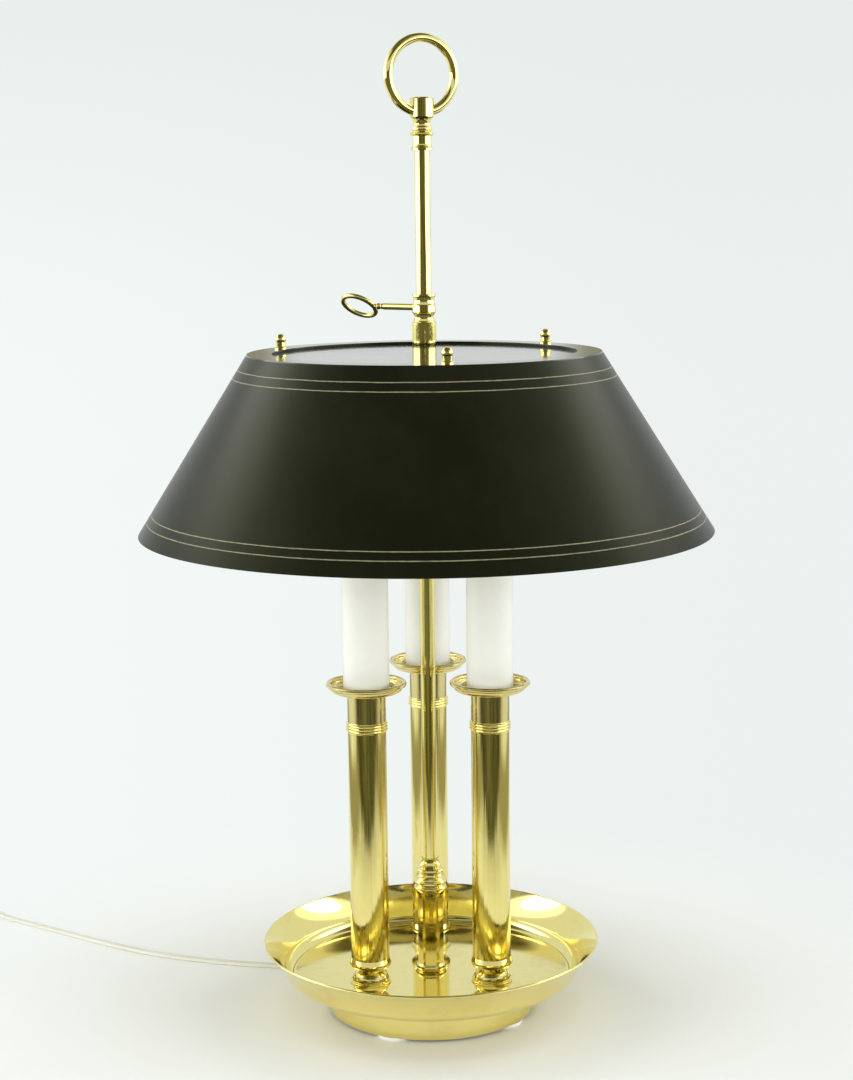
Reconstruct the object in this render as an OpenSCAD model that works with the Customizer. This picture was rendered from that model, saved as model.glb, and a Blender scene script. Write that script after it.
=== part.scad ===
// Bouillotte lamp: three candle columns on a spun brass dish, and a conical
// painted shade that slides on a central rod and is held by a ring key.
// Millimetres, +Z up. The origin is on the lamp's axis, at the plane its pads stand on.
// The front of the lamp faces -Y.

/* [Dish base] */
// Outer diameter of the dish at its lip
dish_d = 242.8; // [236:0.1:260]
// Height of the lip above the dish's floor
dish_depth = 25.1; // [20:0.1:32]
// Radius of the flat floor of the dish
dish_flat_r = 98.5; // [92:0.5:100]
// Radius of the cove between the floor and the lip
dish_cove_r = 9; // [7:0.5:10]
// Slope at which the cove ends, in degrees from level
dish_cove_slope = 75; // [65:1:80]
// How much the lip flares between its foot and its edge, in degrees
lip_flare = 20; // [10:1:24]
// Thickness of the dish's sheet
dish_t = 1.5; // [1.2:0.1:2]
// Height of the foot ring, from its lower edge to the dish
foot_h = 23.9; // [22.5:0.1:30]
// Outer diameter of the foot ring at its lower edge
foot_d = 150; // [142:1:158]
// How much narrower the foot ring is at its top, on the radius
foot_taper = 1; // [1:0.5:5]
// Thickness of the foot ring's wall
foot_t = 1.6; // [1.2:0.1:2.4]
// Width of the flange that joins the foot ring to the dish
foot_flange_w = 8; // [5:0.5:10]

/* [Inside the foot] */
// Gap between the cast weight and the foot ring's wall
weight_gap = 6; // [2:0.5:8]
// Thickness of the cast weight
weight_t = 10; // [6:0.5:10.5]
// Diameter of the weight's wire holes, one under each column
weight_hole_d = 22; // [18:0.5:22]
// Size across the flats of the lock nuts
lock_nut_flats = 14.3; // [13:0.1:16]
// Height of the lock nuts
lock_nut_h = 5; // [3:0.1:5]
// Thickness of the board that closes the foot ring
cover_t = 1.6; // [1:0.1:2]
// Diameter of a rubber pad
pad_d = 26.5; // [20:0.5:30]
// Thickness of a rubber pad
pad_t = 2.6; // [2:0.1:4]
// How far a pad peeps out past the foot ring
pad_proud = 1.2; // [0:0.1:2]

/* [Columns] */
// Radius of the circle that the three columns stand on
column_circle_r = 50.5; // [46:0.5:52]
// Diameter of a column tube
tube_d = 27.4; // [25:0.1:29]
// Wall of a column tube and of a cup neck
tube_t = 1; // [0.8:0.1:1.4]
// Length of a column tube
tube_len = 166.9; // [140:0.1:180]
// How far a column foot's flange stands out past the tube
column_foot_proud = 1; // [0.4:0.1:2]
// Height of a column foot, from the dish to the tube
column_foot_h = 18.5; // [16:0.1:22]
// Diameter of the narrow neck of a column foot
column_neck_d = 17.4; // [15:0.1:20]
// How far the bead ring stands out past the tube
bead_proud = 1.05; // [0.6:0.05:2]
// Height of the bead ring
bead_h = 7.8; // [6:0.1:10]
// Length of the cup neck, from the bead ring to the drip pan
cup_h = 21; // [16:0.1:26]
// Length of the spigots that centre tubes on turned pieces
spigot_h = 4.5; // [3:0.1:6]

/* [Drip pans and candles] */
// Outer diameter of a drip pan
pan_d = 55.8; // [50:0.1:60]
// Height of the middle of the pan's rolled edge above its floor
pan_depth = 4.2; // [3:0.1:6]
// Diameter of the pan's rolled edge
pan_roll_d = 3; // [2.4:0.1:3.6]
// Thickness of the pan's sheet
pan_t = 1.2; // [1:0.1:1.6]
// Gap between a candle sleeve and its socket
candle_gap = 1; // [0.5:0.1:2]
// Wall of a candle sleeve
candle_t = 1.2; // [0.8:0.1:1.6]
// Length of a candle sleeve
candle_len = 101.6; // [80:0.1:106]

/* [Sockets and bulbs] */
// Outer diameter of the threaded pipe in a column
pipe_d = 10.3; // [9:0.1:10.8]
// Bore of the threaded pipe
pipe_bore_d = 6.4; // [5:0.1:7]
// Wall of a lamp socket
socket_wall = 0.85; // [0.7:0.05:1.2]
// Length of a lamp socket
socket_len = 52; // [48:0.5:56]
// How far the socket's mouth lies below the top of the candle sleeve
socket_inset = 4; // [2:0.5:10]
// Thickness of the socket's floor
socket_floor = 10; // [8:0.5:12]
// Thickness of the screw shell in a socket
shell_t = 0.4; // [0.3:0.05:0.5]
// Outer diameter of a bulb's screw cap
bulb_cap_d = 25.8; // [25:0.1:26.4]
// Length of a bulb's screw cap
bulb_cap_len = 26; // [24:0.5:28]
// Largest diameter of the bulb's glass
bulb_d = 35; // [31:0.5:36]
// Length of the bulb's glass above its cap
bulb_len = 70; // [60:0.5:74]
// Thickness of the bulb's glass
glass_t = 0.8; // [0.6:0.1:1]

/* [Rod and centre column] */
// Diameter of the main rod
rod_d = 10.8; // [10.6:0.1:11.6]
// Length of the rod between the dish's floor and the finial
rod_len = 590.9; // [588:0.1:640]
// Diameter of the short tube round the rod's foot
centre_tube_d = 18.7; // [17.6:0.1:20]
// Length of the short tube round the rod's foot
centre_tube_len = 51.8; // [40:0.1:60]
// How far the bead ring under the short tube stands out past it
centre_ring_proud = 1.5; // [1:0.1:3]
// Height of the bead ring under the short tube
centre_ring_h = 5.2; // [4:0.1:6]
// How far the turned cap's widest ring stands out past the short tube
cap_proud = 2.15; // [1.5:0.05:3]
// Height of the turned cap
cap_h = 27.4; // [24:0.1:32]

/* [Finial] */
// Diameter of the finial's carrying ring, to the middle of its wire
ring_d = 50.5; // [44:0.5:60]
// Diameter of the ring's wire
ring_wire_d = 6.5; // [5:0.1:6.8]
// Diameter of the block that holds the ring
block_d = 16.5; // [15:0.1:18]
// Height of the block that holds the ring
block_h = 13.5; // [12.5:0.1:16]
// Diameter of the finial's widest turned ring
finial_d = 16; // [15:0.1:18]
// Turn of the ring about the rod, in degrees
ring_turn = 26; // [-90:1:90]
// How far the rod's tenon reaches up into the finial
tenon_h = 12; // [8:0.5:14]
// Diameter of the rod's tenon
tenon_d = 8; // [6:0.1:9]

/* [Slider and key] */
// Outer diameter of the slider hub's tube
hub_tube_d = 17.2; // [16:0.1:18]
// Diameter of the slider hub's top lip
hub_lip_d = 16.9; // [16:0.1:18]
// Length of the slider hub, from the shade's plate to its top lip
hub_len = 42.2; // [38:0.1:44]
// Distance from the hub's top down to the key's axis
key_drop = 9.4; // [8.6:0.1:10.4]
// Diameter of the hub's neck that passes through the shade's plate
hub_neck_d = 14; // [13.6:0.1:15]
// Length of the hub's neck below its shoulder
hub_neck_len = 12; // [9:0.5:16]
// Size across the flats of the nut under the shade's plate
slider_nut_flats = 22; // [19:0.5:24]
// Height of the nut under the shade's plate
slider_nut_h = 5; // [4:0.5:6]
// Distance from the rod's axis to the middle of the key's bow
key_reach = 56.2; // [50:0.1:60]
// Diameter of the key's shank
key_d = 4.7; // [4:0.1:5]
// Length of the turned knuckle between the key's shank and its bow
knuckle_len = 8.7; // [8:0.1:12]
// Diameter of the key's bow, to the middle of its wire
bow_d = 24.8; // [20:0.1:28]
// Diameter of the bow's wire
bow_wire_d = 3.6; // [2.8:0.1:3.8]
// Compass direction of the key, in degrees from +X towards +Y
key_heading = 145; // [0:1:359]
// Turn of the key about its own axis at rest, in degrees
key_roll = 37; // [-90:1:90]

/* [Shade] */
// Outer diameter of the shade at its lower edge
shade_bottom_d = 406.4; // [380:0.1:430]
// Outer diameter of the shade at its top
shade_top_d = 248.8; // [230:0.1:270]
// Height of the shade
shade_h = 125.5; // [114:0.1:128]
// Height of the shade's lower edge above the plane the lamp stands on
shade_z = 354.5; // [346:0.1:400]
// Thickness of the shade's sheet
shade_t = 0.8; // [0.6:0.1:1.2]
// Width of the shade's turned-in top flange
flange_w = 17.4; // [16:0.1:24]
// Depth of the hem inside the flange, which rests on the plate
recess_depth = 2; // [1.6:0.1:3]
// Height of the folded hem at the shade's lower edge
hem_h = 4; // [3:0.5:8]
// How far the plate reaches out past the circle of ball nuts
plate_edge = 6; // [5:0.5:8]
// Thickness of the plate
plate_t = 1.2; // [1:0.1:2]
// Distance from the flange's inner edge to the circle of ball nuts
nut_inset = 5; // [4.5:0.1:6]
// Diameter of a ball nut's ball
ball_d = 7.9; // [6.6:0.1:9]
// Diameter of a ball nut's base
nut_base_d = 9; // [8:0.1:9]
// Height of a ball nut
ball_nut_h = 11; // [9:0.1:13]
// Direction of the first ball nut, in degrees from the front towards the right
nut_start = 7.6; // [0:0.1:60]
// Diameter of the screws that the ball nuts turn on to
screw_d = 4; // [3:0.1:4]

/* [Cord, switch and plug] */
// Width of the flat twin cord
cord_w = 5.8; // [5:0.1:6.4]
// Thickness of the flat twin cord
cord_t = 2.9; // [2.4:0.1:3.2]
// Height of the cord's hole above the foot ring's lower edge
cord_hole_h = 7.4; // [6.4:0.1:9]
// Length of the tapered strain relief outside the foot ring
relief_len = 22; // [20:0.5:28]
// Diameter of the strain relief where it meets the foot ring
relief_d = 11.5; // [10:0.1:12]
// Middle radius of the coil's turns
coil_r = 32; // [29:0.5:35]
// Turns that lie side by side in the coil
coil_rows = 3; // [2:1:4]
// Height of the coil in turns
coil_layers = 2; // [1:1:3]
// Thickness of the tie round the coil
tie_t = 0.6; // [0.4:0.1:1]
// Width of the tie
tie_w = 5; // [4:0.5:10]
// Length of the cord switch
switch_len = 62; // [58:0.5:70]
// Width of the cord switch
switch_w = 20; // [18:0.5:21]
// Height of the cord switch
switch_h = 17; // [15:0.5:20]
// Diameter of the switch's thumb wheel
wheel_d = 24; // [22:0.5:26]
// Thickness of the switch's thumb wheel
wheel_t = 4; // [3:0.1:5]
// Length of the plug's body
plug_len = 34; // [30:0.5:40]
// Width of the plug's body across its blades
plug_w = 24; // [22:0.5:28]
// Height of the plug's body
plug_h = 15; // [13:0.5:18]
// Spacing of the plug's blades
blade_gap = 12.7; // [12:0.1:13]
// Length of the plug's blades outside its body
blade_len = 17; // [16:0.5:18]

/* [Fits] */
// Clearance between a piece that turns or slides and its shaft, on the radius
run_gap = 0.06; // [0.03:0.01:0.1]
// Clearance between a fixed piece and its hole, on the radius
fit_gap = 0.1; // [0.05:0.01:0.15]
// Clearance in a screwed or brazed joint, on the radius
thread_gap = 0.05; // [0.02:0.01:0.08]
// Clearance between faces that turn against each other
face_gap = 0.15; // [0.1:0.05:0.25]

/* [Hidden] */
SIDES = ["left", "right", "back"];
SIDE_HEADINGS = [210, 330, 90];
COLUMN_PIECES = ["column_foot", "column_tube", "bead_ring", "drip_pan", "candle_sleeve",
                 "stem_pipe", "socket", "socket_shell", "bulb_base", "bulb_glass"];
SINGLE_PIECES = ["base_dish", "foot_ring", "base_weight", "base_cover", "rubber_feet",
                 "cord_bushing", "lock_nuts", "main_rod", "centre_base_ring", "centre_sleeve",
                 "centre_cap", "finial_body", "finial_ring", "slider_hub", "slider_nut",
                 "key_screw", "key_bow", "shade", "shade_disc", "ball_nuts", "disc_screws",
                 "cord_lead", "cord_run", "cord_coil", "cord_tail", "cord_tie", "switch_case",
                 "switch_wheel", "plug_body", "plug_blades"];
$fn = 96;

BRASS = [0.83, 0.66, 0.28];
DARK_PAINT = [0.15, 0.15, 0.11];
CREAM = [0.95, 0.94, 0.88];
WHITE_RUBBER = [0.93, 0.93, 0.91];
IRON = [0.25, 0.25, 0.26];
STEEL = [0.7, 0.71, 0.72];
PHENOLIC = [0.12, 0.1, 0.09];
CLEAR_GLASS = [0.9, 0.93, 0.95, 0.5];
CORD_WHITE = [0.93, 0.92, 0.86];

// Levels, from the ground up
foot_z = pad_t;
dish_under_z = foot_z + foot_h;
floor_z = dish_under_z + dish_t;
lip_z = floor_z + dish_depth;
weight_top_z = dish_under_z - lock_nut_h;
weight_z = weight_top_z - weight_t;
column_tube_z = floor_z + column_foot_h;
bead_z = column_tube_z + tube_len;
cup_z = bead_z + bead_h;
pan_under_z = cup_z + cup_h;
pan_floor_z = pan_under_z + pan_t;
candle_top_z = pan_floor_z + candle_len;
socket_top_z = candle_top_z - socket_inset;
socket_z = socket_top_z - socket_len;
socket_floor_z = socket_z + socket_floor;
contact_z = socket_floor_z + 1.2;
bulb_cap_z = socket_floor_z + 4;
glass_z = bulb_cap_z + bulb_cap_len;
centre_tube_z = floor_z + centre_ring_h;
cap_z = centre_tube_z + centre_tube_len;
rod_top_z = floor_z + rod_len;
block_z = rod_top_z + 22.4;
ring_z = block_z + ring_wire_d / 2 - thread_gap + ring_d / 2;
plate_top_z = shade_z + shade_h - recess_depth;
plate_z = plate_top_z - plate_t;
hub_z = plate_top_z + face_gap;
hub_top_z = hub_z + hub_len;
slider_nut_z = plate_z - face_gap - slider_nut_h;
key_z = hub_top_z - key_drop;

// Radii
foot_top_r = foot_d / 2 - foot_taper;
weight_r = foot_top_r - foot_t - weight_gap;
pad_circle_r = foot_d / 2 + pad_proud - pad_d / 2;
tube_r = tube_d / 2;
tube_spigot_r = tube_r - tube_t - fit_gap;
pipe_r = pipe_d / 2;
rod_r = rod_d / 2;
rod_thread_r = rod_r - 0.25;
centre_tube_r = centre_tube_d / 2;
bulb_cap_r = bulb_cap_d / 2;
shell_r = bulb_cap_r + fit_gap + shell_t;
socket_bore_r = shell_r + thread_gap;
socket_r = socket_bore_r + socket_wall;
candle_r = socket_r + candle_gap + candle_t;
shade_top_r = shade_top_d / 2;
recess_r = shade_top_r - flange_w;
nut_circle_r = recess_r + nut_inset;
plate_r = nut_circle_r + plate_edge;
screw_hole_r = screw_d / 2 + 0.2;
key_end = key_reach - bow_d / 2 - bow_wire_d / 4;
PAD_HEADINGS = [-114, -35, 56, 146];

// The cord leaves the foot ring at the back left. Each point of its route is x, y,
// the height of the cord above what it would lie on, and its twist in degrees.
cord_heading = 140;
cord_hole_z = foot_z + cord_hole_h;
inside_lift = cord_hole_z - cord_t / 2;
switch_lift = switch_h / 2 - cord_t / 2;
plug_lift = plug_h / 2 - cord_t / 2;
coil_centre = [-430, 128];
switch_place = [-408, 234.5];
switch_heading = 148;
plug_place = [-379, 64];
plug_heading = 270;
LEAD = [[-52.1, 43.7, inside_lift, 0], [-63, 52.9, inside_lift, 0], [-74.4, 62.4, inside_lift, 0],
        [-83, 69.2, 7.2, 0], [-91.4, 73.8, 4.2, 0], [-100, 76.8, 1.5, 0], [-109, 78.6, 0.2, 0],
        [-121, 79.8, 0, 0], [-138, 82.8, 0, 0], [-155, 87, 0, 0], [-175, 92.6, 0, 0],
        [-195, 99.6, 0, 0], [-215, 108, 0, 0], [-234, 118, 0, 0], [-250, 128, 0, 0],
        [-267, 139.4, 0, 0], [-284, 151.4, 0, 0], [-303, 165, 0, 0], [-321, 177.8, 0, 0],
        [-338, 189.4, 0.1, 0], [-349, 196.6, 0.8, 0], [-359.5, 203.4, 2.8, 0],
        [-369.5, 210, 5.6, 0], [-379.6, 216.7, switch_lift, 0], [-385.2, 220.3, switch_lift, 0]];
RUN = [[-431, 248.8, switch_lift, 0], [-436.5, 252.3, switch_lift, 0], [-445, 257.4, 5.4, 0],
       [-454.5, 261.2, 2.2, 4], [-465.4, 261.8, 0.3, 14], [-475.4, 257.4, 0, 28], [-482, 248, 0, 42],
       [-484.6, 236, 0, 54], [-484.2, 222, 0, 64], [-481.6, 208, 0, 73], [-478, 194, 0, 80],
       [-474.4, 180, 0, 85], [-471.2, 166, 0, 88], [-469, 152, 0, 90], [-468.4, 140, 0, 90],
       [-468.4, 128, 0, 90], [-467.2, 117, 0, 90]];
TAIL = [[-420, 91, 0, 90], [-413, 93.6, 0, 88], [-402.7, 95.9, 0, 74],
        [-391.5, 93, 0.8, 50], [-383, 85, 3, 24], [-379.4, 74.6, 5.4, 6],
        [-379, 68, plug_lift, 0], [-379, 60, plug_lift, 0]];

// ---- shared shapes ----

function unit(v) = v / norm(v);
function left_of(v) = [-v[1], v[0]];
function reversed(p) = [for (i = [len(p) - 1:-1:0]) p[i]];

// Points of a curve from a to b that bends evenly to the right by turn degrees,
// or to the left where turn is negative
function curve(a, b, turn, n = 8) =
    let (d = b - a,
         r = norm(d) / (2 * sin(turn / 2)),
         h = atan2(d[1], d[0]) + turn / 2)
    [for (i = [0:n]) let (t = turn * i / n)
        a + r * [sin(h) - sin(h - t), cos(h - t) - cos(h)]];

// The path moved sideways by d, to its left, with mitred corners
function beside(p, d) =
    [for (i = [0:len(p) - 1])
        let (a = left_of(unit(i > 0 ? p[i] - p[i - 1] : p[1] - p[0])),
             b = left_of(unit(i < len(p) - 1 ? p[i + 1] - p[i] : p[i] - p[i - 1])),
             q = p[i] + d * (a + b) / (1 + a * b))
        [max(q[0], 0), q[1]]];

module turned(profile) {
    rotate_extrude() polygon(profile);
}

// The path without points that repeat where two curves meet
function distinct(p) = [for (i = [0:len(p) - 1]) if (i == 0 || norm(p[i] - p[i - 1]) > 0.001) p[i]];

// A spun shell: the path is one face, and the wall t lies to its left
module spun(path, t) {
    face = distinct(path);
    turned(concat(face, reversed(beside(face, t))));
}

module tube(r, t, z0, z1) {
    turned([[r - t, z0], [r, z0], [r, z1], [r - t, z1]]);
}

// A ring of round wire, lying flat
module wire_ring(d, wire_d) {
    rotate_extrude() translate([d / 2, 0]) circle(d = wire_d);
}

module hex_nut(flats, bore_r, h) {
    difference() {
        cylinder(d = flats / cos(30), h = h, $fn = 6);
        translate([0, 0, -1]) cylinder(r = bore_r, h = h + 2);
    }
}

module at_columns() {
    for (heading = SIDE_HEADINGS) at_heading(heading, column_circle_r) children();
}

module at_heading(heading, r) {
    translate([r * cos(heading), r * sin(heading), 0]) children();
}

module at_nuts() {
    for (i = [0:2]) at_heading(nut_start + 120 * i - 90, nut_circle_r) children();
}

// Local Z points out through the cord's hole, and local Y lies level
module along_cord_hole() {
    rotate([0, 0, cord_heading]) translate([0, 0, cord_hole_z]) rotate([0, 90, 0]) children();
}

// Local X runs out along the key
module along_key() {
    translate([0, 0, key_z]) rotate([0, 0, key_heading]) rotate([key_roll, 0, 0]) children();
}

// The cord's oval outline, with its width along Y
module cord_slot(h, gap) {
    r = cord_t / 2 + gap;
    half = (cord_w - cord_t) / 2;
    for (s = [-1, 1]) translate([0, s * half, 0]) cylinder(r = r, h = h);
    translate([-r, -half, 0]) cube([2 * r, 2 * half, h]);
}

// ---- dish and foot ----

module base_dish() {
    cove = [dish_flat_r, floor_z + dish_cove_r];
    cove_end = cove + dish_cove_r * [sin(dish_cove_slope), -cos(dish_cove_slope)];
    color(BRASS) difference() {
        spun(concat(curve([dish_d / 2, lip_z], cove_end, -lip_flare, 10),
                    curve(cove_end, [dish_flat_r, floor_z], dish_cove_slope),
                    [[rod_thread_r + fit_gap, floor_z]]),
             dish_t);
        at_columns() translate([0, 0, dish_under_z - 1]) cylinder(r = pipe_r + fit_gap, h = dish_t + 2);
    }
}

module foot_wall() {
    spun(concat([[foot_d / 2, foot_z]],
                curve([foot_d / 2, foot_z + cover_t + 1.4], [foot_top_r, dish_under_z - 1.5], 6, 5),
                [[foot_top_r - 1.5, dish_under_z], [foot_top_r - foot_flange_w, dish_under_z]]),
         foot_t);
}

module foot_ring() {
    color(BRASS) difference() {
        foot_wall();
        along_cord_hole() cylinder(d = relief_d - 3, h = foot_d);
    }
}

module base_weight() {
    color(IRON) difference() {
        turned([[rod_thread_r + fit_gap, weight_z], [weight_r - 2, weight_z],
                [weight_r, weight_z + 2], [weight_r, weight_top_z - 1],
                [weight_r - 1, weight_top_z], [rod_thread_r + fit_gap, weight_top_z]]);
        at_columns() translate([0, 0, weight_z - 1]) cylinder(d = weight_hole_d, h = weight_t + 2);
    }
}

module base_cover() {
    color(IRON) translate([0, 0, foot_z]) cylinder(r = foot_d / 2 - foot_t - fit_gap, h = cover_t);
}

module rubber_feet() {
    r = pad_d / 2;
    color(WHITE_RUBBER) for (heading = PAD_HEADINGS) at_heading(heading, pad_circle_r)
        turned([[0, 0], [r - 0.8, 0], [r, 0.8], [r, pad_t], [0, pad_t]]);
}

module lock_nuts() {
    color(STEEL) {
        for (z = [dish_under_z - lock_nut_h, weight_z - lock_nut_h])
            translate([0, 0, z]) hex_nut(lock_nut_flats, rod_thread_r + thread_gap, lock_nut_h);
        at_columns() translate([0, 0, dish_under_z - lock_nut_h])
            hex_nut(lock_nut_flats, pipe_r + thread_gap, lock_nut_h);
    }
}

// Strain relief: collar inside the wall, shank in the hole, flange and ribbed taper outside
module cord_bushing() {
    shank_r = relief_d / 2 - 1.5 - fit_gap;
    tip_r = cord_w / 2 + 0.9;
    out = foot_d / 2 - 0.5;
    rib = (relief_len - 4) / 4;
    color(CORD_WHITE) difference() {
        along_cord_hole() turned(concat(
            [[0, out - 6], [relief_d / 2, out - 6], [relief_d / 2, out + 2.5]],
            [for (i = [0:3]) let (z = out + 3 + i * rib, r = relief_d / 2 - 0.5 - i * 0.35)
                each [[r - 0.8, z], [r - 0.8, z + 1.2], [r, z + 1.6], [r - 0.2, z + rib - 0.4]]],
            [[tip_r, out + relief_len - 0.8], [tip_r - 0.5, out + relief_len], [0, out + relief_len]]));
        difference() {
            foot_wall();
            along_cord_hole() cylinder(r = shank_r, h = foot_d);
        }
        along_cord_hole() translate([0, 0, out - 7]) cord_slot(relief_len + 8, 0.25);
    }
}

// ---- columns ----

module column_foot(i) {
    r = tube_r + column_foot_proud;
    neck_r = column_neck_d / 2;
    z = floor_z;
    collar_z = z + column_foot_h - 6.3;
    waist_z = z + (column_foot_h - 1) / 2;
    color(BRASS) at_heading(SIDE_HEADINGS[i], column_circle_r) turned(concat(
        [[pipe_r + fit_gap, z], [r - 0.3, z], [r, z + 0.3], [r, z + 1.1], [r - 0.7, z + 1.3],
         [r - 0.7, z + 1.9], [r - 1.5, z + 2.2]],
        curve([r - 1.5, z + 2.6], [neck_r, waist_z], -62),
        curve([neck_r, waist_z + 1.1], [r - 0.7, collar_z], 40),
        curve([r - 0.2, collar_z + 0.4], [r - 0.2, collar_z + 4], -50, 4),
        [[tube_r, column_tube_z], [tube_spigot_r, column_tube_z],
         [tube_spigot_r, column_tube_z + spigot_h - 0.5], [tube_spigot_r - 0.5, column_tube_z + spigot_h],
         [pipe_r + fit_gap, column_tube_z + spigot_h]]));
}

module column_tube(i) {
    color(BRASS) at_heading(SIDE_HEADINGS[i], column_circle_r) tube(tube_r, tube_t, column_tube_z, bead_z);
}

// Three beads in a row, and spigots for the tube below and the cup above
module bead_ring(i) {
    root_r = tube_r + 0.3;
    bead = (bead_h - 1.6) / 3;
    turn = 4 * atan(2 * (bead_proud - 0.3) / (bead - 0.2));
    color(BRASS) at_heading(SIDE_HEADINGS[i], column_circle_r) turned(concat(
        [[pipe_r + fit_gap, bead_z - spigot_h], [tube_spigot_r - 0.5, bead_z - spigot_h],
         [tube_spigot_r, bead_z - spigot_h + 0.5], [tube_spigot_r, bead_z], [tube_r, bead_z],
         [root_r, bead_z + 0.5]],
        [for (k = [0:2]) let (z = bead_z + 0.9 + k * bead)
            each curve([root_r, z], [root_r, z + bead - 0.2], -turn)],
        [[root_r, cup_z - 0.5], [tube_r, cup_z], [tube_spigot_r, cup_z],
         [tube_spigot_r, cup_z + spigot_h - 0.5], [tube_spigot_r - 0.5, cup_z + spigot_h],
         [pipe_r + fit_gap, cup_z + spigot_h]]));
}

// Cup neck, pan floor, cove and rolled edge in one turned piece
module drip_pan(i) {
    roll_r = pan_roll_d / 2;
    roll = [pan_d / 2 - roll_r, pan_floor_z + pan_depth];
    color(BRASS) at_heading(SIDE_HEADINGS[i], column_circle_r) turned(concat(
        [[tube_r - tube_t, cup_z], [tube_r, cup_z], [tube_r, pan_under_z - 0.8],
         [tube_r + 0.8, pan_under_z]],
        curve([roll[0] - 3.8, pan_under_z], roll - roll_r * [0.17, 0.98], -70),
        curve(roll + roll_r * [0, -1], roll + roll_r * [-0.98, 0.17], -280, 12),
        curve(roll + roll_r * [-1, 0], [roll[0] - 4.6, pan_floor_z], 60),
        [[pipe_r + fit_gap, pan_floor_z], [pipe_r + fit_gap, pan_under_z],
         [tube_r - tube_t, pan_under_z]]));
}

module candle_sleeve(i) {
    color(CREAM) at_heading(SIDE_HEADINGS[i], column_circle_r)
        turned([[candle_r - candle_t, pan_floor_z], [candle_r, pan_floor_z],
                [candle_r, candle_top_z - 0.4], [candle_r - 0.4, candle_top_z],
                [candle_r - candle_t + 0.2, candle_top_z], [candle_r - candle_t, candle_top_z - 0.2]]);
}

module stem_pipe(i) {
    color(STEEL) at_heading(SIDE_HEADINGS[i], column_circle_r)
        tube(pipe_r, (pipe_d - pipe_bore_d) / 2, dish_under_z - lock_nut_h - 2, socket_z + socket_floor - 4);
}

// Phenolic body with a blind threaded hole below and the centre contact above
module socket(i) {
    color(PHENOLIC) at_heading(SIDE_HEADINGS[i], column_circle_r) difference() {
        turned([[0, socket_z], [socket_r - 2, socket_z], [socket_r, socket_z + 2],
                [socket_r, socket_top_z], [socket_bore_r, socket_top_z],
                [socket_bore_r, socket_floor_z], [2.5, socket_floor_z], [2.5, contact_z],
                [0, contact_z]]);
        translate([0, 0, socket_z - 1]) cylinder(r = pipe_r + thread_gap, h = socket_floor - 2);
    }
}

module socket_shell(i) {
    color(BRASS) at_heading(SIDE_HEADINGS[i], column_circle_r)
        turned([[6, socket_floor_z], [shell_r, socket_floor_z], [shell_r, socket_top_z - 6],
                [shell_r - shell_t, socket_top_z - 6], [shell_r - shell_t, socket_floor_z + shell_t],
                [6, socket_floor_z + shell_t]]);
}

module bulb_base(i) {
    color(STEEL) at_heading(SIDE_HEADINGS[i], column_circle_r)
        turned([[0, contact_z], [2.3, contact_z], [4.5, contact_z + 0.8], [bulb_cap_r - 1.6, bulb_cap_z],
                [bulb_cap_r, bulb_cap_z + 1.2], [bulb_cap_r, glass_z], [bulb_cap_r - shell_t, glass_z],
                [bulb_cap_r - shell_t, glass_z - 5], [0, glass_z - 5]]);
}

// Torpedo bulb: neck in the cap, flare, and a long round nose
module bulb_glass(i) {
    neck_r = bulb_cap_r - shell_t - fit_gap;
    r = bulb_d / 2;
    neck_z = glass_z + 6;
    wide_z = glass_z + 0.42 * bulb_len;
    tip_z = glass_z + bulb_len;
    mid = [(neck_r + r) / 2, (neck_z + wide_z) / 2];
    bend = 2 * (90 - atan2(mid[1] - neck_z, mid[0] - neck_r));
    color(CLEAR_GLASS) at_heading(SIDE_HEADINGS[i], column_circle_r)
        spun(concat([[neck_r, glass_z - 4.9]],
                    curve([neck_r, neck_z], mid, bend),
                    curve(mid, [r, wide_z], -bend),
                    curve([r, wide_z], [4.5, tip_z - 2.2], -40, 10),
                    curve([4.5, tip_z - 2.2], [0, tip_z], -50, 5)),
             glass_t);
}

// ---- centre column and rod ----

module centre_base_ring() {
    r = centre_tube_r + centre_ring_proud;
    spigot_r = centre_tube_r - tube_t - fit_gap;
    top_z = centre_tube_z;
    color(BRASS) turned(concat(
        [[rod_r + fit_gap, floor_z], [r - 0.8, floor_z]],
        curve([r - 0.7, floor_z + 0.4], [r - 0.9, top_z - 0.3], -120, 10),
        [[r - 1.2, top_z], [spigot_r, top_z], [spigot_r, top_z + 3], [rod_r + fit_gap, top_z + 3]]));
}

module centre_sleeve() {
    color(BRASS) tube(centre_tube_r, tube_t, centre_tube_z, cap_z);
}

// Bead, bulge, ogee, neck, lip and a flared collar up to the rod
module centre_cap() {
    r = centre_tube_r + cap_proud;
    spigot_r = centre_tube_r - tube_t - fit_gap;
    z = cap_z;
    k = cap_h / 27.4;
    color(BRASS) turned(concat(
        [[rod_r + fit_gap, z - 3], [spigot_r, z - 3], [spigot_r, z], [r - 1.7, z],
         [r - 1.5, z + 1 * k], [r - 1.5, z + 2.7 * k], [r - 1, z + 3.2 * k]],
        curve([r - 0.6, z + 3.7 * k], [r - 0.6, z + 6.6 * k], -110),
        [[r - 1.1, z + 7.1 * k]],
        curve([r - 0.7, z + 7.6 * k], [r - 1, z + 11.6 * k], -70),
        curve([r - 1.1, z + 12 * k], [r - 3.2, z + 15.6 * k], 30, 5),
        [[r - 3.3, z + 17 * k], [r - 2.1, z + 17.8 * k]],
        curve([r - 1.7, z + 18.1 * k], [r - 1.7, z + 19.6 * k], -100, 5),
        [[r - 2.4, z + 20 * k]],
        curve([r - 2.6, z + 20.4 * k], [rod_r + 1.2, z + cap_h], 34),
        [[rod_r + fit_gap, z + cap_h]]));
}

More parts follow.
